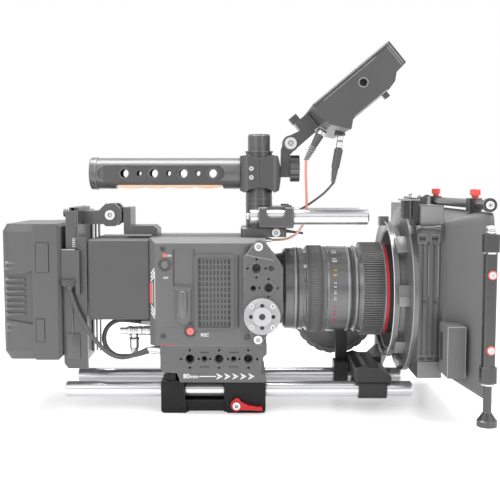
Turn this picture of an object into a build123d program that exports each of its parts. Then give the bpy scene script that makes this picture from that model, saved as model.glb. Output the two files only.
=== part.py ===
from build123d import *
from math import asin, atan2, cos, degrees, pi, radians, sin, tan
import os

os.makedirs("parts", exist_ok=True)

# A cinema camera rig in millimetres. X points to the lens, Y to the far side, Z up.
# The origin is the tripod thread in the middle of the base plate's underside.

# Clearances
running_gap = 0.05
slide_gap = 0.15
seat_gap = 0.3
contact_gap = 0.02

# Base plate and support rods
base_length = 100.0
base_width = 90.0
base_height = 31.0
rod_radius = 7.5
rod_spacing = 60.0
rod_z = 20.0
rod_rear_x = -144.0
rod_front_x = 192.0
rod_chamfer = 1.5
rail_height = 5.0
rail_foot_width = 44.0
rail_top_width = 50.0
tripod_thread_radius = 4.76
tripod_thread_depth = 12.0
small_thread_radius = 3.175
small_thread_offset = 25.0
side_recess_depth = 4.0
side_window_depth = 23.0

# Clamp lever on the near side of the base plate
lever_x = 22.2
lever_z = 8.6
lever_boss_radius = 5.4
lever_length = 24.4
lever_droop = 8.0
lever_thickness = 5.0
lever_bolt_radius = 2.5

# Riser plate under the camera
riser_width = 100.0
riser_height = 35.0
riser_wall = 12.0
riser_floor = 6.0
riser_hole_z = 53.3
large_hole_radius = 4.8
large_hole_pitch = 27.65
large_hole_first_x = -21.9
small_hole_radius = 3.2
locating_hole_radius = 1.2
locating_hole_offset = 8.3

# Camera body
camera_rear_x = -60.0
camera_front_x = 50.0
camera_width = 100.0
camera_height = 101.5
camera_wall = 4.0
camera_rear_chamfer = 6.0
camera_top_chamfer = 4.5
lens_rise = 48.5
grille_x = 1.5
grille_rise = 50.5
grille_width = 33.0
grille_height = 68.0
grille_rim = 2.4
vent_columns = 9
vent_rows = 12
vent_width = 1.7
vent_height = 3.6
fan_radius = 16.0
fan_hub_radius = 6.0
fan_shaft_radius = 1.5
fan_depth = 7.0
fan_blades = 9
fan_wall_y = -24.0
button_radius = 3.4
rec_button_x = -21.2
rec_button_rise = 14.0
power_button_x = -44.8
power_button_rise = 76.9

# Cage side plate and rosette
cage_thickness = 8.0
rosette_radius = 17.0
rosette_thickness = 4.0
rosette_x = 46.3
rosette_rise = 29.4
rosette_teeth = 60
rosette_hole_circle = 10.4
rosette_screw_circle = 14.0
rosette_shank_radius = 1.2

# Battery packs behind the camera
pack_length = 58.0
pack_width = 90.0
pack_rise = 24.0
pack_height = 76.0
pack_seam = 0.6

# Swing arm that carries the battery plate
swing_x = -101.0
swing_rise = 20.9
swing_eye_radius = 11.0
swing_tongue_width = 16.0
swing_arm_width = 34.0
swing_bolt_radius = 3.0

# Battery plate, comb plate and battery
plate_rear_x = -143.0
plate_thickness = 15.0
plate_width = 80.0
plate_bottom_z = 47.0
plate_top_z = 193.0
plate_side_wall = 4.0
comb_thickness = 8.5
comb_width = 6.0
comb_y = 28.0
comb_bottom_z = 46.0
comb_top_z = 183.0
comb_fins = 3
comb_fin_thickness = 1.2
wedge_top_width = 46.0
wedge_bottom_width = 26.0
wedge_height = 42.0
wedge_thickness = 4.5
wedge_bottom_z = 96.0
battery_rear_x = -199.0
battery_split_x = -168.0
battery_width = 96.0
battery_bottom_z = 52.0
battery_top_z = 181.0
battery_rib_pitch = 5.5
battery_rib_count = 7
latch_rise = 0.8

# Top handle, post and clamp
handle_z = 228.8
handle_radius = 15.3
handle_bore_radius = 10.5
handle_rear_x = -116.0
handle_cap_length = 6.0
handle_hole_radius = 4.2
handle_small_hole_radius = 2.6
handle_flat_depth = 2.2
handle_hole_pitch = 28.7
handle_hole_first_x = -87.7
grip_rear_x = -97.0
grip_front_x = 9.0
grip_drop = 15.3
post_x = 43.9
post_radius = 13.0
post_cap_radius = 11.0
post_top_z = 266.6
post_lip_z = 250.0
clamp_rear_x = 25.0
clamp_front_x = 65.0
clamp_width = 42.0
clamp_bottom_z = 210.0
clamp_top_z = 246.5
post_base_rear_x = 26.0
post_base_front_x = 70.0
post_base_width = 62.0
post_base_height = 8.9

# Top rods
top_rod_rise = 19.5
top_rod_rear_x = 34.5
top_rod_front_x = 148.4
rod_clamp_rear_x = 44.0
rod_clamp_front_x = 75.7
sleeve_wall = 2.0

# Monitor and its arm
monitor_pivot_x = 74.6
monitor_pivot_z = 257.9
monitor_tilt = 39.7
monitor_width = 150.0
monitor_height = 88.0
monitor_edge_x = 90.6
monitor_edge_z = 289.0
arm_width = 12.0
arm_thickness = 9.0
arm_foot_z = 225.0
knob_z = 233.7
knob_radius = 13.0
knob_thickness = 9.0
arm_stud_radius = 3.0
arm_stud_depth = 4.0

# Lens
lens_adapter_radius = 37.0
lens_rear_x = 67.0
zoom_rear_x = 93.0
zoom_front_x = 109.0
zoom_radius = 43.3
zoom_core_radius = 38.5
zoom_ribs = 40
focus_rear_x = 143.0
focus_front_x = 163.0
focus_core_radius = 40.0
lens_front_x = 176.0
lens_front_radius = 45.0
gear_module = 0.8
focus_teeth = 114
drive_teeth = 40
mesh_backlash = 0.12

# Follow focus
handwheel_radius = 44.5
handwheel_thickness = 12.0
handwheel_near_y = 74.0
wheel_x = 127.0
wheel_z = 78.0
drive_shaft_radius = 3.0
gearbox_length = 27.0
gearbox_height = 26.0
gearbox_width = 26.0

# Matte box
matte_rear_x = 168.0
ring_bore_radius = 58.0
ring_rim_radius = 67.5
ring_flange_radius = 81.0
flange_rear_x = 183.0
stage_rear_x = 188.0
stage_length = 22.0
stage_width = 150.0
stage_bottom_z = 41.0
stage_top_z = 199.0
window_size = 100.0
tray_thickness = 7.0
tray_width = 124.0
hood_front_x = 240.0
hood_rear_bottom_z = 46.0
hood_rear_top_z = 183.0
hood_front_bottom_z = 33.0
hood_front_top_z = 194.0
hood_front_width = 256.0
hood_wall = 2.5
swing_pin_x = 182.0
swing_pin_y = 92.0
swing_pin_radius = 3.0
knuckle_radius = 8.0
knuckle_foot_z = 28.0
knuckle_split_z = 40.0
knuckle_top_z = 56.0
flag_bar_radius = 4.2
flag_bar_z = 200.5
flag_bar_half_length = 122.0
thumb_screw_y = 78.0
thumb_head_radius = 4.6
hood_post_bottom_z = 13.5
hood_post_top_z = 183.0

# Places worked out from the sizes above
rod_y = rod_spacing / 2
base_near_y = -base_width / 2
riser_top_z = base_height + riser_height
camera_top_z = riser_top_z + camera_height
camera_near_y = -camera_width / 2
lens_z = riser_top_z + lens_rise
lens_axis = Axis((0, 0, lens_z), (1, 0, 0))
grille_z = riser_top_z + grille_rise
rosette_z = riser_top_z + rosette_rise
cage_near_y = camera_near_y - cage_thickness
swing_z = camera_top_z + swing_rise
top_rod_z = camera_top_z + top_rod_rise
plate_front_x = plate_rear_x + plate_thickness
post_base_top_z = camera_top_z + post_base_height
focus_pitch_radius = gear_module * focus_teeth / 2
drive_pitch_radius = gear_module * drive_teeth / 2
gear_distance = focus_pitch_radius + drive_pitch_radius + mesh_backlash
gear_drop = lens_z - wheel_z
gear_y = (gear_distance**2 - gear_drop**2) ** 0.5
stage_front_x = stage_rear_x + stage_length
cap_shank_radius = 2.0
cap_shank_length = 5.0
clamp_shank_radius = 1.2
cage_screws = ((43.0, riser_top_z + 94.5), (42.5, riser_top_z + 7.6))
clamp_middle_z = (clamp_bottom_z + clamp_top_z) / 2
clamp_screws = ((post_x - 7.6, clamp_middle_z + 5.0), (post_x - 7.6, clamp_middle_z - 3.5))
foot_screw = (post_base_front_x - 10.0, camera_top_z + post_base_height / 2)
wing_pin_radius = 1.5
wing_thickness = 5.0
rod_lever_x = 71.0
rod_lever_z = post_base_top_z + 3.0
base_lever_x = 62.0
base_lever_z = camera_top_z + 4.2
near_side = Plane.XZ


def side_plane(y):
    """A drawing plane that faces the viewer, with X to the right and Z up."""
    return Plane.XZ.offset(-y)


def front_plane(x):
    """A drawing plane across the rig, with Y to the right and Z up."""
    return Plane.YZ.offset(x)


def socket_screw(head_radius, head_height, shank_radius, shank_length):
    """A cap screw that points down, with its head's underside at the origin."""
    with BuildPart() as screw:
        with BuildSketch():
            Circle(head_radius)
        extrude(amount=head_height)
        with BuildSketch(Plane.XY.offset(head_height)):
            RegularPolygon(head_radius * 0.55, 6)
        extrude(amount=-head_height * 0.6, mode=Mode.SUBTRACT)
        with BuildSketch():
            Circle(shank_radius)
        extrude(amount=-shank_length)
    return screw.part


def headed_pin(radius, length, head_radius, head_height):
    """A pin that stands up from the origin and ends in a head."""
    with BuildPart() as pin:
        with BuildSketch():
            Circle(radius)
        extrude(amount=length)
        with BuildSketch(Plane.XY.offset(length)):
            Circle(head_radius)
        extrude(amount=head_height)
    return pin.part


wing_pin = headed_pin(wing_pin_radius, wing_thickness + 2 * seat_gap, 2.8, 1.2)


def save(builder, name):
    """Labels a finished piece and writes it."""
    builder.part.label = name
    export_step(builder.part, f"parts/{name}.step")


# Base plate: a milled block with two rod bores, side windows and a dovetail rail
with BuildPart() as base_plate:
    with BuildSketch(side_plane(base_width / 2)):
        with Locations((0, base_height / 2)):
            Rectangle(base_length, base_height)
    extrude(amount=base_width)
    fillet(base_plate.edges().filter_by(Axis.Y).group_by(Axis.Z)[0], 3.5)
    chamfer(base_plate.edges().filter_by(Axis.Y).group_by(Axis.Z)[-1], 0.8)
    with BuildSketch(front_plane(-base_length / 2 + 2)):
        with BuildLine():
            Polyline(
                (-rail_foot_width / 2, base_height - 1),
                (-rail_foot_width / 2, base_height),
                (-rail_top_width / 2, base_height + rail_height),
                (rail_top_width / 2, base_height + rail_height),
                (rail_foot_width / 2, base_height),
                (rail_foot_width / 2, base_height - 1),
                close=True,
            )
        make_face()
    extrude(amount=base_length - 4)
    with BuildSketch(front_plane(-base_length / 2)):
        with Locations((-rod_y, rod_z), (rod_y, rod_z)):
            Circle(rod_radius + contact_gap)
    extrude(amount=base_length, mode=Mode.SUBTRACT)
    for side in (-1, 1):
        with BuildSketch(side_plane(side * base_width / 2)):
            with BuildLine():
                Polyline(
                    (-29.0, base_height),
                    (-25.8, 0),
                    (13.0, 0),
                    (10.7, base_height),
                    close=True,
                )
            make_face()
        extrude(amount=side * side_recess_depth, mode=Mode.SUBTRACT)
        with BuildSketch(side_plane(side * base_width / 2)):
            with Locations((-8.6, rod_z + 0.2)):
                Rectangle(37.6, 17.6)
        extrude(amount=side * side_window_depth, mode=Mode.SUBTRACT)
        with BuildSketch(side_plane(side * (base_width / 2 - side_recess_depth))):
            with Locations((-7.0, 1.2)):
                Rectangle(34.0, 2.4)
        extrude(amount=side * side_recess_depth, mode=Mode.SUBTRACT)
    with Locations(Plane.XY.rotated((180, 0, 0))):
        Hole(tripod_thread_radius, depth=tripod_thread_depth)
    with Locations(
        Plane((small_thread_offset, 0, 0), z_dir=(0, 0, -1)),
        Plane((-small_thread_offset, 0, 0), z_dir=(0, 0, -1)),
    ):
        Hole(small_thread_radius, depth=tripod_thread_depth)
    with BuildSketch(side_plane(base_near_y)):
        with Locations((lever_x, lever_z)):
            Circle(lever_bolt_radius + contact_gap)
    extrude(amount=-14, mode=Mode.SUBTRACT)
save(base_plate, "base_plate")

# Lever bolt: a cap screw that the clamp lever turns on
lever_screw = socket_screw(3.6, 2.6, lever_bolt_radius, 17.5)
with BuildPart() as lever_bolt:
    with Locations(
        Plane((lever_x, base_near_y - lever_thickness - 0.4, lever_z), (1, 0, 0), (0, -1, 0))
    ):
        add(lever_screw)
save(lever_bolt, "lever_bolt")

# Clamp lever: an eccentric boss with a waisted arm that ends in a paddle
with BuildPart() as clamp_lever:
    with BuildSketch(side_plane(base_near_y - 0.2)):
        with Locations((lever_x, lever_z)):
            Circle(lever_boss_radius)
            with Locations((0.6, 3.6)):
                Circle(3.0)
        with BuildLine():
            boss_top = (lever_x + 3.2, lever_z + 4.0)
            boss_foot = (lever_x + 2.6, lever_z - 4.4)
            tip_x = lever_x + lever_length * cos(radians(lever_droop))
            tip_z = lever_z - lever_length * sin(radians(lever_droop))
            Spline(boss_top, (lever_x + 9, lever_z + 0.8), (tip_x, tip_z + 1.9))
            Line((tip_x, tip_z + 1.9), (tip_x + 0.4, tip_z - 1.9))
            Spline((tip_x + 0.4, tip_z - 1.9), (lever_x + 9, lever_z - 4.4), boss_foot)
            Line(boss_foot, boss_top)
        make_face()
    extrude(amount=lever_thickness)
    with BuildSketch(side_plane(base_near_y)):
        with Locations((lever_x, lever_z)):
            Circle(lever_bolt_radius + running_gap)
    extrude(amount=lever_thickness * 2, mode=Mode.SUBTRACT)
save(clamp_lever, "clamp_lever")

# Support rods: two plain bars with chamfered ends
with BuildPart() as support_rods:
    with BuildSketch(front_plane(rod_rear_x)):
        with Locations((-rod_y, rod_z), (rod_y, rod_z)):
            Circle(rod_radius)
    extrude(amount=rod_front_x - rod_rear_x)
    chamfer(support_rods.edges().filter_by(GeomType.CIRCLE), rod_chamfer)
save(support_rods, "support_rods")

# Riser plate: a waisted block that slides on the rail, open inside under the camera
with BuildPart() as riser_plate:
    with BuildSketch(side_plane(riser_width / 2)):
        with BuildLine():
            Line((-50, riser_top_z), (-50, riser_top_z - 20))
            ThreePointArc((-50, riser_top_z - 20), (-48.6, riser_top_z - 23.8), (-45, riser_top_z - 25.4))
            Polyline(
                (-45, riser_top_z - 25.4),
                (-34, riser_top_z - 26.2),
                (-31, base_height),
                (49, base_height),
                (49, base_height + 5.5),
                (45, base_height + 9),
                (46, base_height + 22),
                (51, base_height + 27),
                (51, riser_top_z),
                (-50, riser_top_z),
            )
        make_face()
    extrude(amount=riser_width)
    with BuildSketch(front_plane(-60)):
        with BuildLine():
            Polyline(
                (-rail_foot_width / 2 - slide_gap, base_height - 1),
                (-rail_foot_width / 2 - slide_gap, base_height),
                (-rail_top_width / 2 - slide_gap, base_height + rail_height + slide_gap),
                (rail_top_width / 2 + slide_gap, base_height + rail_height + slide_gap),
                (rail_foot_width / 2 + slide_gap, base_height),
                (rail_foot_width / 2 + slide_gap, base_height - 1),
                close=True,
            )
        make_face()
    extrude(amount=120, mode=Mode.SUBTRACT)
    with BuildSketch(Plane.XY.offset(riser_top_z)):
        RectangleRounded(riser_width - 2 * riser_wall, riser_width - 2 * riser_wall, 6)
    extrude(
        amount=-(riser_height - rail_height - riser_floor),
        mode=Mode.SUBTRACT,
    )
    for side in (-1, 1):
        with BuildSketch(side_plane(side * riser_width / 2)):
            for index in range(3):
                hole_x = large_hole_first_x + index * large_hole_pitch
                with Locations((hole_x, riser_hole_z)):
                    Circle(large_hole_radius)
                    with PolarLocations(locating_hole_offset, 4):
                        Circle(locating_hole_radius)
            with Locations(
                (large_hole_first_x + large_hole_pitch * 0.5, riser_hole_z),
                (large_hole_first_x + large_hole_pitch * 1.5, riser_hole_z),
            ):
                Circle(small_hole_radius)
        extrude(amount=side * riser_wall, mode=Mode.SUBTRACT)
save(riser_plate, "riser_plate")

# Camera body: a hollow casting with a chassis wall inside that carries the fan
camera_middle_x = (camera_rear_x + camera_front_x) / 2
camera_length = camera_front_x - camera_rear_x
pod_x = -27.5
pod_width = 15.0
pod_bottom_rise = 20.0
pod_top_rise = 55.0
rec_button_z = riser_top_z + rec_button_rise
power_button_z = riser_top_z + power_button_rise
with BuildPart() as camera_body:
    with BuildSketch(Plane.XY.offset(riser_top_z)):
        with Locations((camera_middle_x, 0)):
            Rectangle(camera_length, camera_width)
    extrude(amount=camera_height)
    chamfer(
        camera_body.edges().filter_by(Axis.X).group_by(Axis.Z)[-1],
        camera_top_chamfer,
    )
    chamfer(
        camera_body.edges().filter_by(Axis.Z).group_by(Axis.X)[0],
        camera_rear_chamfer,
    )
    with BuildSketch(Plane.XY.offset(riser_top_z + camera_wall)):
        with Locations((camera_middle_x, 0)):
            RectangleRounded(
                camera_length - 2 * camera_rear_chamfer,
                camera_width - 2 * camera_wall,
                3.0,
            )
    extrude(
        amount=camera_height - camera_wall - camera_top_chamfer,
        mode=Mode.SUBTRACT,
    )
    with BuildSketch(side_plane(fan_wall_y + 3)):
        with Locations((camera_middle_x, riser_top_z + camera_height / 2)):
            Rectangle(camera_length - camera_wall, camera_height - camera_wall)
    extrude(amount=3)
    with BuildSketch(side_plane(fan_wall_y)):
        with Locations((grille_x, grille_z)):
            Circle(fan_hub_radius - 1)
    extrude(amount=5)
    with BuildSketch(side_plane(fan_wall_y)):
        with Locations((grille_x, grille_z)):
            Circle(fan_shaft_radius)
    extrude(amount=fan_depth + 7)
    with BuildSketch(side_plane(camera_near_y)):
        with Locations((grille_x, grille_z)):
            RectangleRounded(grille_width, grille_height, 2.0)
    extrude(amount=-camera_wall, mode=Mode.SUBTRACT)
    with BuildSketch(side_plane(camera_near_y)):
        with Locations((rec_button_x, rec_button_z), (power_button_x, power_button_z)):
            Circle(button_radius + running_gap)
    extrude(amount=-camera_wall, mode=Mode.SUBTRACT)
    with BuildSketch(side_plane(camera_near_y)):
        with Locations((pod_x, riser_top_z + (pod_top_rise + pod_bottom_rise + pod_width / 2) / 2)):
            Rectangle(pod_width, pod_top_rise - pod_bottom_rise - pod_width / 2)
        with Locations((pod_x, riser_top_z + pod_bottom_rise + pod_width / 2)):
            Circle(pod_width / 2)
    extrude(amount=2.4)
    pod_faces = camera_body.faces().filter_by(Axis.Y).sort_by(Axis.Y)
    chamfer(pod_faces[0].edges(), 1.4)
    with BuildSketch(side_plane(camera_near_y)):
        with Locations((pod_x, riser_top_z + 75.0)):
            RectangleRounded(20, 34, 2)
    extrude(amount=-0.8, mode=Mode.SUBTRACT)
    with BuildSketch(side_plane(camera_near_y)):
        with Locations(
            (camera_rear_x + 13, riser_top_z + 10),
            (camera_rear_x + 13, riser_top_z + 92),
            (rec_button_x, rec_button_z + 7.6),
        ):
            Circle(2.0)
    extrude(amount=-2.0, mode=Mode.SUBTRACT)
save(camera_body, "camera_body")

# Side cover: a louvred plate that closes the fan window
with BuildPart() as side_cover:
    with BuildSketch(side_plane(camera_near_y + camera_wall)):
        with Locations((grille_x, grille_z)):
            RectangleRounded(
                grille_width - 2 * contact_gap, grille_height - 2 * contact_gap, 2.0
            )
    extrude(amount=camera_wall)
    with BuildSketch(side_plane(camera_near_y)):
        with Locations((grille_x, grille_z)):
            RectangleRounded(
                grille_width + 2 * grille_rim, grille_height + 2 * grille_rim, 3.5
            )
    extrude(amount=1.2)
    with BuildSketch(side_plane(camera_near_y - 1.2)):
        with Locations((grille_x, grille_z)):
            RectangleRounded(grille_width - 2.0, grille_height - 2.0, 2.0)
    extrude(amount=-2.0, mode=Mode.SUBTRACT)
    with BuildSketch(side_plane(camera_near_y)):
        with Locations((grille_x, grille_z)):
            with GridLocations(3.4, 5.3, vent_columns, vent_rows):
                Rectangle(vent_width, vent_height)
    extrude(amount=-camera_wall, mode=Mode.SUBTRACT)
save(side_cover, "side_cover")

# Cooling fan: a hub on the chassis shaft with curved blades
with BuildPart() as cooling_fan:
    with BuildSketch(side_plane(fan_wall_y - 5 - seat_gap)):
        with Locations((grille_x, grille_z)):
            Circle(fan_hub_radius)
            for index in range(fan_blades):
                turn = 360 / fan_blades * index
                with BuildLine(mode=Mode.PRIVATE) as blade_line:
                    ThreePointArc(
                        (fan_hub_radius - 1, -0.5),
                        (fan_radius * 0.65, 2.6),
                        (fan_radius, 7.5),
                    )
                    Line((fan_radius, 7.5), (fan_radius - 1.2, 8.2))
                    ThreePointArc(
                        (fan_radius - 1.2, 8.2),
                        (fan_radius * 0.6, 3.8),
                        (fan_hub_radius - 1, 0.8),
                    )
                    Line((fan_hub_radius - 1, 0.8), (fan_hub_radius - 1, -0.5))
                add(make_face(blade_line.edges(), mode=Mode.PRIVATE), rotation=turn)
            Circle(fan_shaft_radius + running_gap, mode=Mode.SUBTRACT)
    extrude(amount=fan_depth)
save(cooling_fan, "cooling_fan")


def push_button(centre_x, centre_z, name):
    """A round cap that passes through the wall, with a flange behind it."""
    with BuildPart() as button:
        with BuildSketch(side_plane(camera_near_y + camera_wall)):
            with Locations((centre_x, centre_z)):
                Circle(button_radius)
        extrude(amount=camera_wall + 1.5)
        chamfer(button.faces().sort_by(Axis.Y)[0].edges(), 0.5)
        with BuildSketch(side_plane(camera_near_y + camera_wall)):
            with Locations((centre_x, centre_z)):
                Circle(button_radius + 1.6)
        extrude(amount=-1.2)
    save(button, name)


push_button(rec_button_x, rec_button_z, "rec_button")
push_button(power_button_x, power_button_z, "power_button")

# Cage side plate: an angular plate beside the lens mount with accessory holes
with BuildPart() as cage_side_plate:
    with BuildSketch(side_plane(camera_near_y)):
        with BuildLine():
            Polyline(
                (42.0, riser_top_z + 102.0),
                (29.0, riser_top_z + 84.0),
                (29.0, riser_top_z + 35.0),
                (32.0, riser_top_z + 21.0),
                (37.5, riser_top_z + 7.0),
                (42.0, riser_top_z + 2.0),
                (46.0, riser_top_z + 2.0),
                (54.0, riser_top_z + 16.5),
                (64.0, riser_top_z + 26.0),
                (65.7, riser_top_z + 35.0),
                (65.7, riser_top_z + 75.0),
                (62.8, riser_top_z + 80.0),
                (49.0, riser_top_z + 99.0),
                close=True,
            )
        make_face()
    extrude(amount=cage_thickness)
    fillet(cage_side_plate.edges().filter_by(Axis.Y).group_by(Axis.Z)[-1], 3.0)
    chamfer(cage_side_plate.faces().sort_by(Axis.Y)[0].edges(), 0.8)
    with BuildSketch(side_plane(cage_near_y)):
        with Locations((41.0, lens_z + 25.7), (52.2, lens_z + 7.5)):
            Circle(large_hole_radius)
            with PolarLocations(locating_hole_offset, 4):
                Circle(locating_hole_radius)
        with Locations((54.9, lens_z + 25.7), (38.1, lens_z + 7.3)):
            Circle(small_hole_radius)
        with Locations(*cage_screws):
            Circle(cap_shank_radius + contact_gap)
    extrude(amount=-cage_thickness, mode=Mode.SUBTRACT)
save(cage_side_plate, "cage_side_plate")

# Rosette: a toothed disc for an arm, screwed to the cage side plate
with BuildPart() as rosette:
    with BuildSketch(side_plane(cage_near_y)):
        with Locations((rosette_x, rosette_z)):
            Circle(rosette_radius)
    extrude(amount=rosette_thickness)
    chamfer(rosette.faces().sort_by(Axis.Y)[0].edges(), 0.6)
    with BuildSketch(side_plane(cage_near_y - rosette_thickness)):
        with Locations((rosette_x, rosette_z)):
            Circle(3.0)
            with PolarLocations(rosette_hole_circle, 4):
                Circle(1.9)
    extrude(amount=-rosette_thickness, mode=Mode.SUBTRACT)
    with BuildSketch(side_plane(cage_near_y - rosette_thickness)):
        with Locations((rosette_x, rosette_z)):
            with PolarLocations(rosette_screw_circle, 4, start_angle=45):
                Circle(2.4)
    extrude(amount=-1.6, mode=Mode.SUBTRACT)
    with BuildSketch(side_plane(cage_near_y)):
        with Locations((rosette_x, rosette_z)):
            with PolarLocations(rosette_screw_circle, 4, start_angle=45):
                Circle(rosette_shank_radius + contact_gap)
    extrude(amount=rosette_thickness, mode=Mode.SUBTRACT)
    for index in range(rosette_teeth):
        angle = radians(360 / rosette_teeth * index)
        ray = Vector(cos(angle), 0, sin(angle))
        groove_start = Vector(rosette_x, cage_near_y - rosette_thickness, rosette_z)
        with BuildSketch(Plane(groove_start + ray * 9.0, x_dir=(0, 1, 0), z_dir=ray)):
            with BuildLine():
                Polyline((-0.1, -0.5), (-0.1, 0.5), (0.5, 0), close=True)
            make_face()
        extrude(amount=rosette_radius, mode=Mode.SUBTRACT)
save(rosette, "rosette")

# Camera packs: two batteries side by side on the camera's rear face
pack_front_x = camera_rear_x
pack_bottom_z = riser_top_z + pack_rise
with BuildPart() as camera_packs:
    for side in (-1, 1):
        with BuildSketch(Plane.XY.offset(pack_bottom_z)):
            with Locations(
                (pack_front_x - pack_length / 2, side * (pack_width + pack_seam) / 4)
            ):
                RectangleRounded(pack_length, (pack_width - pack_seam) / 2, 2.5)
        extrude(amount=pack_height)
    chamfer(camera_packs.faces().filter_by(Axis.Z).edges(), 1.0)
save(camera_packs, "camera_packs")

# Arm base: an angled foot on the camera top with the tongue of the swing hinge
arm_foot_rear_x = -88.0
with BuildPart() as arm_base:
    with BuildSketch(side_plane(swing_arm_width / 2)):
        with BuildLine():
            Polyline(
                (arm_foot_rear_x, swing_z + 7.5),
                (arm_foot_rear_x, camera_top_z + 2.0),
                (camera_rear_x - 1.0, camera_top_z + 2.0),
                (camera_rear_x - 1.0, camera_top_z),
                (camera_rear_x + 5.0, camera_top_z),
                (camera_rear_x + 5.0, camera_top_z + 7.0),
                (camera_rear_x + 1.0, camera_top_z + 10.5),
                (arm_foot_rear_x + 7.0, camera_top_z + 10.5),
                (arm_foot_rear_x + 7.0, swing_z + 7.5),
                close=True,
            )
        make_face()
    extrude(amount=swing_arm_width)
    with BuildSketch(side_plane(swing_tongue_width / 2)):
        with Locations((swing_x, swing_z)):
            Circle(8.0)
        with BuildLine():
            Polyline(
                (swing_x, swing_z + 8.0),
                (swing_x, swing_z - 8.0),
                (arm_foot_rear_x + 1, swing_z - 8.0),
                (arm_foot_rear_x + 1, swing_z + 7.0),
                close=True,
            )
        make_face()
    extrude(amount=swing_tongue_width)
    with BuildSketch(side_plane(swing_arm_width / 2)):
        with Locations((swing_x, swing_z)):
            Circle(swing_bolt_radius + contact_gap)
    extrude(amount=swing_arm_width, mode=Mode.SUBTRACT)
save(arm_base, "arm_base")

# Swing arm: two octagonal cheeks and a bar that holds the battery plate
with BuildPart() as swing_arm:
    with BuildSketch(side_plane(swing_arm_width / 2)):
        with Locations((swing_x, swing_z)):
            RegularPolygon(swing_eye_radius, 8, rotation=22.5, major_radius=False)
        with BuildLine():
            Polyline(
                (plate_front_x, swing_z - 9.0),
                (swing_x - 6.0, swing_z - 9.0),
                (swing_x - 6.0, swing_z + 4.0),
                (plate_front_x, swing_z + 4.0),
                close=True,
            )
        make_face()
    extrude(amount=swing_arm_width)
    with BuildSketch(side_plane(swing_tongue_width / 2 + seat_gap)):
        with Locations((swing_x + 3, swing_z)):
            Rectangle(swing_eye_radius * 2 + 8, swing_eye_radius * 2 + 4)
    extrude(amount=swing_tongue_width + 2 * seat_gap, mode=Mode.SUBTRACT)
    with BuildSketch(side_plane(swing_arm_width / 2)):
        with Locations((swing_x, swing_z)):
            Circle(swing_bolt_radius + running_gap)
    extrude(amount=swing_arm_width, mode=Mode.SUBTRACT)
save(swing_arm, "swing_arm")

# Battery plate: a bent plate with a dovetail recess, a release lever and a lock knob
plate_recess_floor_x = plate_rear_x + wedge_thickness + seat_gap
wedge_top_z = wedge_bottom_z + wedge_height
with BuildPart() as battery_plate:
    with BuildSketch(side_plane(plate_width / 2)):
        with BuildLine():
            Polyline(
                (plate_rear_x, plate_bottom_z),
                (plate_rear_x, wedge_top_z + 16.0),
                (plate_rear_x + 3.5, wedge_top_z + 16.0),
                (plate_rear_x + 3.5, plate_top_z),
                (plate_front_x, plate_top_z),
                (plate_front_x, plate_bottom_z - 5.0),
                (plate_rear_x + 4.0, plate_bottom_z - 5.0),
                close=True,
            )
        make_face()
    extrude(amount=plate_width)
    with BuildSketch(Plane.XY.offset(plate_bottom_z - 5.0)):
        with Locations((plate_front_x + 4.0, (plate_side_wall - plate_width) / 2)):
            Rectangle(8.0, plate_side_wall)
    extrude(amount=plate_top_z - plate_bottom_z - 20.0)
    with BuildSketch(front_plane(plate_recess_floor_x)):
        with BuildLine():
            Polyline(
                (-wedge_bottom_width / 2 - seat_gap, wedge_bottom_z - seat_gap),
                (-wedge_top_width / 2 - seat_gap, wedge_top_z),
                (-wedge_top_width / 2 - seat_gap, plate_top_z + 1),
                (wedge_top_width / 2 + seat_gap, plate_top_z + 1),
                (wedge_top_width / 2 + seat_gap, wedge_top_z),
                (wedge_bottom_width / 2 + seat_gap, wedge_bottom_z - seat_gap),
                close=True,
            )
        make_face()
    extrude(amount=-wedge_thickness * 2, mode=Mode.SUBTRACT)
    with BuildSketch(Plane.XY.offset(plate_top_z)):
        with Locations((plate_front_x - 6.0, 0)):
            RectangleRounded(9.0, 60.0, 2.0)
    extrude(amount=3.0)
    with BuildSketch(front_plane(plate_rear_x + 3.5)):
        with Locations((-31.0, plate_top_z - 2.0)):
            Circle(3.8)
    extrude(amount=-3.3)
save(battery_plate, "battery_plate")

# Comb plate: thin vertical fins joined by cross ribs, open between them at both ends
comb_front_x = plate_front_x + comb_thickness
with BuildPart() as comb_plate:
    for index in range(comb_fins):
        fin_step = (comb_thickness - comb_fin_thickness) / (comb_fins - 1)
        fin_x = plate_front_x + index * fin_step
        with BuildSketch(Plane.XY.offset(comb_bottom_z)):
            with Locations((fin_x + comb_fin_thickness / 2, comb_y)):
                Rectangle(comb_fin_thickness, comb_width)
        extrude(amount=comb_top_z - comb_bottom_z)
    with BuildSketch(side_plane(comb_y + comb_width / 2)):
        with Locations((plate_front_x + comb_thickness / 2, pack_bottom_z + pack_height / 2)):
            with GridLocations(1, 9.5, 1, 7):
                Rectangle(comb_thickness, 2.0)
    extrude(amount=comb_width)
save(comb_plate, "comb_plate")

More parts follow.
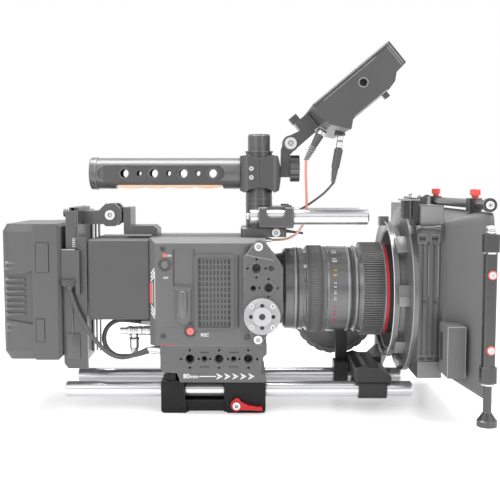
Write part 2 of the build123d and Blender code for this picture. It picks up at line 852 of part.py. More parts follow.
# Battery: a ribbed rear shell and a front cover with the dovetail wedge
rib_middle_z = 112.0
with BuildPart() as battery_case:
    with BuildSketch(Plane.XY.offset(battery_bottom_z)):
        with Locations(((battery_rear_x + battery_split_x) / 2, 0)):
            Rectangle(battery_split_x - battery_rear_x, battery_width)
    extrude(amount=battery_top_z - battery_bottom_z)
    fillet(battery_case.edges().filter_by(Axis.Z).group_by(Axis.X)[0], 9.0)
    chamfer(battery_case.faces().sort_by(Axis.Z)[-1].edges().group_by(Axis.X)[0], 7.0, 4.0)
    chamfer(battery_case.faces().sort_by(Axis.Z)[0].edges().group_by(Axis.X)[0], 8.0, 5.0)
    for side in (-1, 1):
        with BuildSketch(side_plane(side * battery_width / 2)):
            with BuildLine():
                Polyline(
                    (battery_rear_x - 1, rib_middle_z + 21.0),
                    (battery_rear_x + 22, rib_middle_z + 22.5),
                    (battery_split_x - 2, rib_middle_z + 25.0),
                    (battery_split_x - 2, rib_middle_z - 26.0),
                    (battery_rear_x - 1, rib_middle_z - 20.5),
                    close=True,
                )
            make_face()
        extrude(amount=side * 2.2, mode=Mode.SUBTRACT)
        with BuildSketch(side_plane(side * (battery_width / 2 - 2.2))):
            with Locations((battery_rear_x + 13.5, rib_middle_z)):
                with GridLocations(1, battery_rib_pitch, 1, battery_rib_count):
                    Trapezoid(17.0, 2.6, 88)
        extrude(amount=-side * 1.6)
    with BuildSketch(front_plane(battery_rear_x)):
        with Locations((0, rib_middle_z)):
            with GridLocations(1, battery_rib_pitch, 1, battery_rib_count):
                Rectangle(70.0, 2.4)
    extrude(amount=1.6, mode=Mode.SUBTRACT)
save(battery_case, "battery_case")

with BuildPart() as battery_cover:
    cover_front_x = plate_rear_x - seat_gap
    with BuildSketch(Plane.XY.offset(battery_bottom_z)):
        with Locations(((battery_split_x + cover_front_x) / 2, 0)):
            Rectangle(cover_front_x - battery_split_x, battery_width)
    extrude(amount=battery_top_z - battery_bottom_z)
    chamfer(battery_cover.edges().filter_by(Axis.Z).group_by(Axis.X)[-1], 3.0)
    chamfer(battery_cover.edges().filter_by(Axis.Y).group_by(Axis.X)[-1], 3.0)
    for side in (-1, 1):
        for latch_x, latch_z, length, height in (
            (battery_split_x + 7.8, battery_top_z - 31.7, 11.5, 27.8),
            (battery_split_x + 5.0, battery_bottom_z + 28.5, 7.5, 21.5),
        ):
            with BuildSketch(side_plane(side * battery_width / 2)):
                with Locations((latch_x, latch_z)):
                    RectangleRounded(length + 1.2, height + 1.2, 1.2)
            extrude(amount=side * latch_rise, mode=Mode.SUBTRACT)
            with BuildSketch(side_plane(side * (battery_width / 2 - latch_rise))):
                with Locations((latch_x, latch_z)):
                    RectangleRounded(length, height, 0.8)
            extrude(amount=-side * 2 * latch_rise)
    with BuildSketch(front_plane(cover_front_x)):
        with BuildLine():
            Polyline(
                (-wedge_bottom_width / 2, wedge_bottom_z),
                (-wedge_top_width / 2, wedge_top_z),
                (wedge_top_width / 2, wedge_top_z),
                (wedge_bottom_width / 2, wedge_bottom_z),
                close=True,
            )
        make_face()
    extrude(amount=wedge_thickness)
save(battery_cover, "battery_cover")

# Handle: a bored tube with side flats and holes, an end cap and a wooden grip below
with BuildPart() as handle_tube:
    with BuildSketch(front_plane(handle_rear_x)):
        with Locations((0, handle_z)):
            Circle(handle_radius)
            Circle(handle_bore_radius, mode=Mode.SUBTRACT)
    extrude(amount=clamp_rear_x - handle_rear_x)
    for side in (-1, 1):
        with BuildSketch(side_plane(side * handle_radius)):
            with Locations(((handle_rear_x + clamp_rear_x) / 2 - 6.0, handle_z)):
                SlotOverall(124.0, 15.0)
        extrude(amount=side * handle_flat_depth, mode=Mode.SUBTRACT)
        with BuildSketch(side_plane(side * (handle_radius - handle_flat_depth))):
            for index in range(4):
                with Locations((handle_hole_first_x + index * handle_hole_pitch, handle_z)):
                    RegularPolygon(handle_hole_radius + 1.4, 8, rotation=22.5, major_radius=False)
        extrude(amount=side * 0.8, mode=Mode.SUBTRACT)
    with BuildSketch(side_plane(handle_radius)):
        for index in range(4):
            with Locations((handle_hole_first_x + index * handle_hole_pitch, handle_z)):
                Circle(handle_hole_radius)
        for index in range(3):
            with Locations((handle_hole_first_x + (index + 0.5) * handle_hole_pitch, handle_z)):
                Circle(handle_small_hole_radius)
    extrude(amount=2 * handle_radius, mode=Mode.SUBTRACT)
    with BuildSketch(side_plane(handle_radius)):
        with Locations(((grip_rear_x + grip_front_x) / 2, handle_z - handle_radius - 0.5)):
            Trapezoid(grip_front_x - grip_rear_x + 4, 9.0, 70)
    extrude(amount=2 * handle_radius, mode=Mode.SUBTRACT)
save(handle_tube, "handle_tube")

with BuildPart() as handle_cap:
    with BuildSketch(front_plane(handle_rear_x)):
        with Locations((0, handle_z)):
            Circle(handle_radius + 0.6)
    extrude(amount=-handle_cap_length)
    fillet(handle_cap.faces().sort_by(Axis.X)[0].edges(), 2.0)
    with BuildSketch(front_plane(handle_rear_x)):
        with Locations((0, handle_z)):
            Circle(handle_bore_radius - contact_gap)
    extrude(amount=8.0)
save(handle_cap, "handle_cap")

grip_top_z = handle_z - handle_radius + 3.95
with BuildPart() as handle_grip:
    with BuildSketch(side_plane(11.0)):
        with BuildLine():
            grip_low_z = handle_z - grip_drop + 0.4
            crest = (grip_front_x - grip_rear_x) / 4
            start = (grip_rear_x + 2.5, grip_low_z + 1.6)
            Line((grip_rear_x + 2.5, grip_top_z), start)
            for index in range(4):
                left_x = grip_rear_x + 2.5 + index * (crest - 1.25)
                right_x = left_x + crest - 1.25
                ThreePointArc(
                    (left_x, grip_low_z + 1.6),
                    ((left_x + right_x) / 2, grip_low_z),
                    (right_x, grip_low_z + 1.6),
                )
            Line((grip_front_x - 2.5, grip_low_z + 1.6), (grip_front_x - 2.5, grip_top_z))
            Line((grip_front_x - 2.5, grip_top_z), (grip_rear_x + 2.5, grip_top_z))
        make_face()
    extrude(amount=22.0)
save(handle_grip, "handle_grip")

# Post: a stepped column on a slotted foot that bolts to the camera top
with BuildPart() as post_column:
    with BuildSketch(Plane.XY.offset(camera_top_z)):
        with Locations(((post_base_rear_x + post_base_front_x) / 2, 0)):
            RectangleRounded(post_base_front_x - post_base_rear_x, post_base_width, 4.0)
    extrude(amount=post_base_height)
    chamfer(post_column.faces().sort_by(Axis.Z)[-1].edges(), 0.8)
    with BuildSketch(Plane.XY.offset(camera_top_z)):
        with Locations((post_x, 0)):
            Circle(post_radius)
    extrude(amount=post_lip_z - camera_top_z)
    chamfer(post_column.faces().sort_by(Axis.Z)[-1].edges(), 0.8)
    with BuildSketch(Plane.XY.offset(post_lip_z)):
        with Locations((post_x, 0)):
            Circle(post_cap_radius)
    extrude(amount=post_top_z - post_lip_z)
    chamfer(post_column.faces().sort_by(Axis.Z)[-1].edges(), 1.0)
    with BuildSketch(side_plane(-post_base_width / 2)):
        with Locations(foot_screw):
            Circle(cap_shank_radius + contact_gap)
    extrude(amount=-cap_shank_length, mode=Mode.SUBTRACT)
    with Locations(
        Plane((base_lever_x, post_base_width / 2, base_lever_z), (1, 0, 0), (0, 1, 0))
    ):
        add(wing_pin)
save(post_column, "post_column")

# Post clamp: a barrel-shaped block around the column with a socket for the handle
with BuildPart() as post_clamp:
    with BuildSketch(side_plane(clamp_width / 2)):
        with BuildLine():
            Line((clamp_rear_x, clamp_bottom_z + 2), (clamp_rear_x, clamp_top_z - 1))
            Line((clamp_rear_x, clamp_top_z - 1), (clamp_rear_x + 9, clamp_top_z))
            ThreePointArc(
                (clamp_rear_x + 9, clamp_top_z),
                (post_x, clamp_top_z - 3),
                (clamp_front_x - 9, clamp_top_z),
            )
            Line((clamp_front_x - 9, clamp_top_z), (clamp_front_x - 3, clamp_top_z - 1))
            ThreePointArc(
                (clamp_front_x - 3, clamp_top_z - 1),
                (clamp_front_x, (clamp_top_z + clamp_bottom_z) / 2),
                (clamp_front_x - 2, clamp_bottom_z + 2),
            )
            Line((clamp_front_x - 2, clamp_bottom_z + 2), (clamp_front_x - 6, clamp_bottom_z))
            ThreePointArc(
                (clamp_front_x - 6, clamp_bottom_z),
                (post_x, clamp_bottom_z + 5.5),
                (clamp_rear_x + 5, clamp_bottom_z),
            )
            Line((clamp_rear_x + 5, clamp_bottom_z), (clamp_rear_x, clamp_bottom_z + 2))
        make_face()
    extrude(amount=clamp_width)
    with BuildSketch(Plane.XY.offset(clamp_bottom_z), mode=Mode.PRIVATE) as clamp_plan:
        with Locations(((clamp_rear_x + clamp_front_x) / 2, 0)):
            RectangleRounded(clamp_front_x - clamp_rear_x, clamp_width, 9.0)
    extrude(clamp_plan.sketch, amount=clamp_top_z - clamp_bottom_z, mode=Mode.INTERSECT)
    with BuildSketch(Plane.XY.offset(clamp_bottom_z)):
        with Locations((post_x, 0)):
            Circle(post_radius + contact_gap)
    extrude(amount=clamp_top_z - clamp_bottom_z, mode=Mode.SUBTRACT)
    for side in (-1, 1):
        with BuildSketch(side_plane(side * clamp_width / 2)):
            with Locations((post_x, clamp_middle_z)):
                Rectangle(0.8, clamp_top_z - clamp_bottom_z)
        extrude(amount=side * 3.0, mode=Mode.SUBTRACT)
    with BuildSketch(side_plane(-clamp_width / 2)):
        with Locations(*clamp_screws):
            Circle(clamp_shank_radius + contact_gap)
    extrude(amount=-cap_shank_length, mode=Mode.SUBTRACT)
    with BuildSketch(front_plane(clamp_front_x)):
        with Locations((0, knob_z)):
            Circle(arm_stud_radius + contact_gap)
    extrude(amount=-arm_stud_depth, mode=Mode.SUBTRACT)
save(post_clamp, "post_clamp")

# Top rods: a short pair for front accessories
with BuildPart() as top_rods:
    with BuildSketch(front_plane(top_rod_rear_x)):
        with Locations((-rod_y, top_rod_z), (rod_y, top_rod_z)):
            Circle(rod_radius)
    extrude(amount=top_rod_front_x - top_rod_rear_x)
    chamfer(top_rods.edges().filter_by(GeomType.CIRCLE), rod_chamfer)
save(top_rods, "top_rods")

# Top rod clamp: two windowed sleeves joined by a web in front of the column
sleeve_half = rod_radius + sleeve_wall
clamp_web_rear_x = post_x + post_radius + seat_gap
with BuildPart() as top_rod_clamp:
    for side in (-1, 1):
        with BuildSketch(front_plane(rod_clamp_rear_x)):
            with Locations((side * rod_y, (post_base_top_z + top_rod_z + sleeve_half) / 2)):
                RectangleRounded(
                    2 * sleeve_half, top_rod_z + sleeve_half - post_base_top_z, 2.5
                )
        extrude(amount=rod_clamp_front_x - rod_clamp_rear_x)
    with BuildSketch(Plane.XY.offset(post_base_top_z)):
        with Locations(((clamp_web_rear_x + rod_clamp_front_x) / 2, 0)):
            Rectangle(rod_clamp_front_x - clamp_web_rear_x, rod_spacing)
    extrude(amount=7.0)
    with BuildSketch(front_plane(rod_clamp_rear_x)):
        with Locations((-rod_y, top_rod_z), (rod_y, top_rod_z)):
            Circle(rod_radius + contact_gap)
    extrude(amount=rod_clamp_front_x - rod_clamp_rear_x, mode=Mode.SUBTRACT)
    for side in (-1, 1):
        with BuildSketch(side_plane(side * (rod_y + sleeve_half))):
            with Locations((rod_clamp_rear_x + 15.5, top_rod_z + 6.5)):
                RectangleRounded(17.0, 14.0, 4.0)
        extrude(amount=side * sleeve_half, mode=Mode.SUBTRACT)
    with BuildSketch(Plane.XY.offset(top_rod_z + sleeve_half)):
        with Locations((rod_clamp_front_x - 5.0, -rod_y), (rod_clamp_front_x - 5.0, rod_y)):
            Rectangle(8.0, 7.0)
    extrude(amount=1.8)
    with Locations(
        Plane((rod_lever_x, rod_y + sleeve_half, rod_lever_z), (1, 0, 0), (0, 1, 0))
    ):
        add(wing_pin)
save(top_rod_clamp, "top_rod_clamp")


def clamp_wing(pivot_x, pivot_z, wall_y, length, droop, name):
    """A small curved lever on a collar that turns about Y beside a wall."""
    far_y = wall_y + seat_gap + wing_thickness
    with BuildPart() as wing:
        with BuildSketch(side_plane(far_y)):
            with Locations((pivot_x, pivot_z)):
                Circle(4.0)
            with BuildLine():
                tip_x = pivot_x + length
                tip_z = pivot_z - droop
                ThreePointArc(
                    (pivot_x, pivot_z + 3.6),
                    (pivot_x + length * 0.5, pivot_z + 1.4 - droop / 2),
                    (tip_x, tip_z + 1.2),
                )
                Line((tip_x, tip_z + 1.2), (tip_x, tip_z - 1.2))
                ThreePointArc(
                    (tip_x, tip_z - 1.2),
                    (pivot_x + length * 0.5, pivot_z - 1.6 - droop / 2),
                    (pivot_x, pivot_z - 3.6),
                )
                Line((pivot_x, pivot_z - 3.6), (pivot_x, pivot_z + 3.6))
            make_face()
        extrude(amount=wing_thickness)
        with BuildSketch(side_plane(far_y)):
            with Locations((pivot_x, pivot_z)):
                Circle(wing_pin_radius + running_gap)
        extrude(amount=wing_thickness, mode=Mode.SUBTRACT)
    save(wing, name)


clamp_wing(rod_lever_x, rod_lever_z, rod_y + sleeve_half, 14.0, -1.0, "rod_lever")
clamp_wing(base_lever_x, base_lever_z, post_base_width / 2, 28.0, 4.0, "base_lever")

# Monitor arm: the lower link, on the clamp's front face, with a tongue at its top
arm_rear_x = clamp_front_x + seat_gap
with BuildPart() as monitor_arm_lower:
    with BuildSketch(side_plane(arm_width / 2)):
        with BuildLine():
            Polyline(
                (arm_rear_x, arm_foot_z),
                (arm_rear_x, arm_foot_z + 27.0),
                (monitor_pivot_x - 5.5, monitor_pivot_z + 5.0),
                (monitor_pivot_x + 5.5, monitor_pivot_z - 5.0),
                (arm_rear_x + arm_thickness, arm_foot_z + 22.0),
                (arm_rear_x + arm_thickness, arm_foot_z),
                close=True,
            )
        make_face()
        with Locations((monitor_pivot_x, monitor_pivot_z)):
            Circle(8.0)
    extrude(amount=arm_width)
    with BuildSketch(side_plane(arm_width / 2)):
        with Locations((monitor_pivot_x, monitor_pivot_z)):
            Circle(3.0 + contact_gap)
    extrude(amount=arm_width, mode=Mode.SUBTRACT)
    with BuildSketch(front_plane(arm_rear_x)):
        with Locations((0, knob_z)):
            Circle(arm_stud_radius + contact_gap)
    extrude(amount=arm_thickness, mode=Mode.SUBTRACT)
    with BuildSketch(front_plane(clamp_front_x - arm_stud_depth)):
        with Locations((0, knob_z)):
            Circle(arm_stud_radius)
    extrude(amount=arm_stud_depth + arm_thickness + knob_thickness)
save(monitor_arm_lower, "monitor_arm_lower")

# Arm knob: a scalloped wheel on the arm's threaded stud
knob_rear_x = arm_rear_x + arm_thickness + seat_gap
with BuildPart() as arm_knob:
    with BuildSketch(front_plane(knob_rear_x)):
        with Locations((0, knob_z)):
            Circle(knob_radius)
            with PolarLocations(knob_radius + 2.2, 10):
                Circle(3.4, mode=Mode.SUBTRACT)
            Circle(arm_stud_radius + running_gap, mode=Mode.SUBTRACT)
    extrude(amount=knob_thickness)
save(arm_knob, "arm_knob")

# Monitor arm: the upper link, with two cheeks and the block under the monitor
monitor_plane = Plane(
    origin=(monitor_edge_x, 0, monitor_edge_z),
    x_dir=(cos(radians(monitor_tilt)), 0, sin(radians(monitor_tilt))),
    z_dir=(0, -1, 0),
)
arm_cheek = 5.0
arm_upper_width = arm_width + 2 * (arm_cheek + seat_gap)
with BuildPart() as monitor_arm_upper:
    with BuildSketch(side_plane(arm_upper_width / 2)):
        with Locations((monitor_pivot_x, monitor_pivot_z)):
            Circle(7.5)
        with BuildLine():
            Polyline(
                (monitor_pivot_x - 4.6, monitor_pivot_z + 6.0),
                (93.0, 274.5),
                (99.0, 269.0),
                (monitor_pivot_x + 5.0, monitor_pivot_z - 5.6),
                close=True,
            )
        make_face()
    extrude(amount=arm_upper_width)
    with BuildSketch(monitor_plane.offset(-arm_upper_width / 2)):
        with Locations((-9.0, -10.0)):
            Rectangle(16.0, 17.0)
    extrude(amount=arm_upper_width)
    with BuildSketch(side_plane(arm_width / 2 + seat_gap)):
        with Locations((monitor_pivot_x - 1.5, monitor_pivot_z - 1.5)):
            Circle(11.5)
    extrude(amount=arm_width + 2 * seat_gap, mode=Mode.SUBTRACT)
    with BuildSketch(side_plane(arm_upper_width / 2)):
        with Locations((monitor_pivot_x, monitor_pivot_z)):
            Circle(3.0 + running_gap)
    extrude(amount=arm_upper_width, mode=Mode.SUBTRACT)
    with BuildSketch(monitor_plane.offset(-5.0)):
        with Locations((-14.0, 2.0)):
            Rectangle(9.0, 7.0)
    extrude(amount=10.0)
save(monitor_arm_upper, "monitor_arm_upper")

# Monitor: a wedge-backed housing with a rim, and a glass screen in its face
bezel = 4.0
screen_depth = 1.6
with BuildPart() as monitor_housing:
    with BuildSketch(monitor_plane.offset(-monitor_width / 2)):
        with BuildLine():
            Polyline(
                (0, 0),
                (monitor_height, 0),
                (monitor_height, -24.5),
                (monitor_height - 12, -25.8),
                (monitor_height - 18, -31.2),
                (monitor_height - 27, -33.4),
                (20, -33.4),
                (13, -39.5),
                (2, -25.0),
                (0, -19.0),
                close=True,
            )
        make_face()
    extrude(amount=monitor_width)
    fillet(monitor_housing.edges().filter_by(Axis.Y), 1.2)
    with BuildSketch(monitor_plane.offset(-monitor_width / 2)):
        with Locations((monitor_height * 0.5, -2.6)):
            Rectangle(monitor_height + 2, 0.8)
    extrude(amount=1.0, mode=Mode.SUBTRACT)
    with BuildSketch(monitor_plane.offset(monitor_width / 2 - 1.0)):
        with Locations((monitor_height * 0.5, -2.6)):
            Rectangle(monitor_height + 2, 0.8)
    extrude(amount=1.0, mode=Mode.SUBTRACT)
    with BuildSketch(monitor_plane.offset(-monitor_width / 2 + bezel)):
        with Locations((monitor_height / 2, -screen_depth / 2)):
            Rectangle(monitor_height - 2 * bezel, screen_depth)
    extrude(amount=monitor_width - 2 * bezel, mode=Mode.SUBTRACT)
    for far in (-monitor_width / 2, monitor_width / 2 - 8.0):
        with BuildSketch(monitor_plane.offset(far)):
            with Locations((monitor_height * 0.54, -14.0)):
                Circle(small_thread_radius)
        extrude(amount=8.0, mode=Mode.SUBTRACT)
    with BuildSketch(monitor_plane.offset(-14.0)):
        with Locations((monitor_height + 1.4, -12.0)):
            Rectangle(2.8, 16.0)
    extrude(amount=28.0)
    with BuildSketch(monitor_plane.offset(38.0)):
        with Locations((monitor_height - 26.0, -36.0)):
            Rectangle(5.0, 6.0)
    extrude(amount=7.0)
save(monitor_housing, "monitor_housing")

with BuildPart() as monitor_screen:
    with BuildSketch(monitor_plane.offset(-monitor_width / 2 + bezel + contact_gap)):
        with Locations((monitor_height / 2, -screen_depth / 2)):
            Rectangle(monitor_height - 2 * bezel - 2 * contact_gap, screen_depth)
    extrude(amount=monitor_width - 2 * bezel - 2 * contact_gap)
save(monitor_screen, "monitor_screen")

# Lens adapter: a collar between the camera and the lens
with BuildPart() as lens_adapter:
    with BuildSketch(near_side):
        with BuildLine():
            Polyline(
                (camera_front_x, lens_z + 24.0),
                (camera_front_x, lens_z + lens_adapter_radius),
                (lens_rear_x - 9.0, lens_z + lens_adapter_radius),
                (lens_rear_x - 7.0, lens_z + lens_adapter_radius - 2.0),
                (lens_rear_x, lens_z + lens_adapter_radius - 1.0),
                (lens_rear_x, lens_z + 24.0),
                close=True,
            )
        make_face()
    revolve(axis=lens_axis)
save(lens_adapter, "lens_adapter")

# Lens barrel: one turned body that the zoom and focus rings ride on
with BuildPart() as lens_barrel:
    with BuildSketch(near_side):
        with BuildLine():
            Polyline(
                (lens_rear_x, lens_z),
                (lens_rear_x, lens_z + 38.0),
                (lens_rear_x + 2.5, lens_z + 40.4),
                (zoom_rear_x - 7.0, lens_z + 40.8),
                (zoom_rear_x - 6.0, lens_z + 39.6),
                (zoom_rear_x - 4.5, lens_z + 39.6),
                (zoom_rear_x - 3.5, lens_z + 41.4),
                (zoom_rear_x, lens_z + 41.6),
                (zoom_rear_x, lens_z + zoom_core_radius),
                (zoom_front_x, lens_z + zoom_core_radius),
                (zoom_front_x, lens_z + 42.0),
                (zoom_front_x + 2.0, lens_z + 42.6),
                (zoom_front_x + 20.0, lens_z + 42.0),
                (zoom_front_x + 22.0, lens_z + 40.6),
                (zoom_front_x + 25.0, lens_z + 40.6),
                (zoom_front_x + 27.0, lens_z + 42.6),
                (zoom_front_x + 29.0, lens_z + 42.8),
                (zoom_front_x + 30.5, lens_z + 41.4),
                (focus_rear_x, lens_z + 43.4),
                (focus_rear_x, lens_z + focus_core_radius),
                (focus_front_x, lens_z + focus_core_radius),
                (focus_front_x, lens_z + 43.6),
                (focus_front_x + 2.0, lens_z + 44.0),
                (focus_front_x + 2.4, lens_z + 43.2),
                (focus_front_x + 5.0, lens_z + 43.2),
                (focus_front_x + 5.4, lens_z + 44.2),
                (lens_front_x - 2.0, lens_z + lens_front_radius - 1.0),
                (lens_front_x, lens_z + lens_front_radius - 2.0),
                (lens_front_x, lens_z + 37.5),
                (lens_front_x - 8.0, lens_z + 35.0),
                (lens_front_x - 8.0, lens_z),
                close=True,
            )
        make_face()
    revolve(axis=lens_axis)
save(lens_barrel, "lens_barrel")

# Front glass: the domed front element
glass_radius = 34.5
glass_bulge = 4.6
glass_curve = (glass_radius**2 + glass_bulge**2) / (2 * glass_bulge)
glass_rear_x = lens_front_x - 8.0
with BuildPart() as front_glass:
    with BuildSketch(near_side):
        with BuildLine():
            Line((glass_rear_x, lens_z), (glass_rear_x, lens_z + glass_radius))
            Line(
                (glass_rear_x, lens_z + glass_radius),
                (glass_rear_x + 1.0, lens_z + glass_radius),
            )
            CenterArc(
                (glass_rear_x + 1.0 + glass_bulge - glass_curve, lens_z),
                glass_curve,
                0,
                degrees(asin(glass_radius / glass_curve)),
            )
            Line((glass_rear_x + 1.0 + glass_bulge, lens_z), (glass_rear_x, lens_z))
        make_face()
    revolve(axis=lens_axis)
save(front_glass, "front_glass")


def ribbed_ring(rear_x, front_x, bore, rim, ribs, name):
    """A ring about the lens axis with square ribs around its rim."""
    with BuildPart() as ring:
        with BuildSketch(front_plane(rear_x + running_gap)):
            with Locations((0, lens_z)):
                Circle(rim)
                Circle(bore, mode=Mode.SUBTRACT)
        extrude(amount=front_x - rear_x - 2 * running_gap)
        with BuildSketch(front_plane(rear_x + 1.5)):
            with Locations((0, lens_z)):
                with PolarLocations(rim, ribs):
                    Rectangle(1.8, 1.9)
        extrude(amount=front_x - rear_x - 3.0, mode=Mode.SUBTRACT)
    save(ring, name)


ribbed_ring(
    zoom_rear_x,
    zoom_front_x,
    zoom_core_radius + running_gap,
    zoom_radius,
    zoom_ribs,
    "zoom_ring",
)


def gear_points(teeth, pitch_radius, first_angle, centre):
    """The outline of a spur gear with straight flanks, as points around its centre."""
    pitch = 360 / teeth
    tip = pitch_radius + gear_module * 0.9
    root = pitch_radius - gear_module * 1.1
    points = []
    for index in range(teeth):
        middle = first_angle + index * pitch
        for radius, turn in (
            (root, -0.33 * pitch),
            (tip, -0.14 * pitch),
            (tip, 0.14 * pitch),
            (root, 0.33 * pitch),
        ):
            angle = radians(middle + turn)
            points.append((centre[0] + radius * cos(angle), centre[1] + radius * sin(angle)))
    return points


# Focus ring and drive gear: the ring's gear teeth mesh with the follow focus
mesh_angle = degrees(atan2(wheel_z - lens_z, gear_y))
focus_first = mesh_angle + 180 / focus_teeth
drive_first = mesh_angle + 180
with BuildPart() as focus_ring:
    with BuildSketch(front_plane(focus_rear_x + running_gap)):
        with BuildLine():
            Polyline(
                *gear_points(focus_teeth, focus_pitch_radius, focus_first, (0, lens_z)),
                close=True,
            )
        make_face()
        with Locations((0, lens_z)):
            Circle(focus_core_radius + running_gap, mode=Mode.SUBTRACT)
    extrude(amount=focus_front_x - focus_rear_x - 2 * running_gap)
save(focus_ring, "focus_ring")

drive_gear_x = 147.0
drive_gear_width = 10.0
with BuildPart() as drive_gear:
    with BuildSketch(front_plane(drive_gear_x)):
        with BuildLine():
            Polyline(
                *gear_points(drive_teeth, drive_pitch_radius, drive_first, (gear_y, wheel_z)),
                close=True,
            )
        make_face()
        with Locations((gear_y, wheel_z)):
            Circle(drive_shaft_radius + running_gap, mode=Mode.SUBTRACT)
    extrude(amount=drive_gear_width)
save(drive_gear, "drive_gear")

# Follow focus bracket: a rod sleeve, a post, the gearbox and its two shafts
gearbox_rear_x = 114.0
gearbox_near_y = gear_y - gearbox_width / 2
gearbox_far_y = gear_y + gearbox_width / 2
gearbox_bottom_z = wheel_z - gearbox_height / 2
gearbox_top_z = wheel_z + gearbox_height / 2
gearbox_bevel = 6.0
follow_sleeve_x = 121.8
follow_sleeve_length = 14.2
with BuildPart() as focus_bracket:
    with BuildSketch(front_plane(follow_sleeve_x)):
        with Locations((rod_y, rod_z + 3.0)):
            RectangleRounded(2 * sleeve_half + 1, 2 * sleeve_half + 7, 3.0)
    extrude(amount=follow_sleeve_length)
    with BuildSketch(Plane.XY.offset(rod_z + sleeve_half)):
        with Locations((follow_sleeve_x + 9.0, gear_y - 9.0)):
            RectangleRounded(12.0, 9.0, 1.5)
    extrude(amount=gearbox_bottom_z - rod_z - sleeve_half + 2.0)
    with BuildSketch(Plane.XY.offset(rod_z + sleeve_half)):
        with Locations((follow_sleeve_x + 9.0, (rod_y + gear_y) / 2 - 2.0)):
            RectangleRounded(10.0, gear_y - rod_y, 1.5)
    extrude(amount=4.0)
    with BuildSketch(Plane.XY.offset(gearbox_bottom_z)):
        with Locations((gearbox_rear_x + gearbox_length / 2, gear_y)):
            RectangleRounded(gearbox_length, gearbox_width, 5.0)
    extrude(amount=gearbox_height)
    with BuildSketch(front_plane(gearbox_rear_x)):
        with BuildLine():
            Polyline(
                (gearbox_near_y, gearbox_top_z),
                (gearbox_near_y + gearbox_bevel, gearbox_top_z),
                (gearbox_near_y, gearbox_top_z - gearbox_bevel),
                close=True,
            )
        make_face()
    extrude(amount=gearbox_length, mode=Mode.SUBTRACT)
    with BuildSketch(side_plane(gearbox_far_y)):
        with Locations((wheel_x, wheel_z)):
            Circle(8.0)
    extrude(amount=-(handwheel_near_y - gearbox_far_y - seat_gap))
    with BuildSketch(side_plane(gearbox_far_y)):
        with Locations((wheel_x, wheel_z)):
            Circle(drive_shaft_radius)
    extrude(amount=-(handwheel_near_y + handwheel_thickness - gearbox_far_y))
    with BuildSketch(front_plane(gearbox_rear_x + gearbox_length)):
        with Locations((gear_y, wheel_z)):
            Circle(drive_shaft_radius)
    extrude(amount=drive_gear_x + drive_gear_width + 1.0 - gearbox_rear_x - gearbox_length)
    with BuildSketch(front_plane(gearbox_rear_x + gearbox_length)):
        with Locations((gear_y, wheel_z)):
            Circle(6.0)
    extrude(amount=drive_gear_x - seat_gap - gearbox_rear_x - gearbox_length)
    with BuildSketch(front_plane(follow_sleeve_x)):
        with Locations((rod_y, rod_z)):
            Circle(rod_radius + contact_gap)
    extrude(amount=follow_sleeve_length, mode=Mode.SUBTRACT)
save(focus_bracket, "focus_bracket")

# Handwheel: a dished wheel with a finger-notched rim
with BuildPart() as handwheel:
    with BuildSketch(side_plane(handwheel_near_y + handwheel_thickness)):
        with Locations((wheel_x, wheel_z)):
            Circle(handwheel_radius)
            with PolarLocations(handwheel_radius + 3.4, 24):
                Circle(4.4, mode=Mode.SUBTRACT)
    extrude(amount=handwheel_thickness)
    with BuildSketch(side_plane(handwheel_near_y)):
        with Locations((wheel_x, wheel_z)):
            Circle(handwheel_radius - 5.0)
            Circle(handwheel_radius - 16.0, mode=Mode.SUBTRACT)
    extrude(amount=-3.0, mode=Mode.SUBTRACT)
    with BuildSketch(side_plane(handwheel_near_y + handwheel_thickness)):
        with Locations((wheel_x, wheel_z)):
            Circle(handwheel_radius - 8.0)
            Circle(12.0, mode=Mode.SUBTRACT)
    extrude(amount=3.0, mode=Mode.SUBTRACT)
    with BuildSketch(side_plane(handwheel_near_y + handwheel_thickness)):
        with Locations((wheel_x, wheel_z)):
            Circle(drive_shaft_radius + running_gap)
    extrude(amount=handwheel_thickness, mode=Mode.SUBTRACT)
save(handwheel, "handwheel")

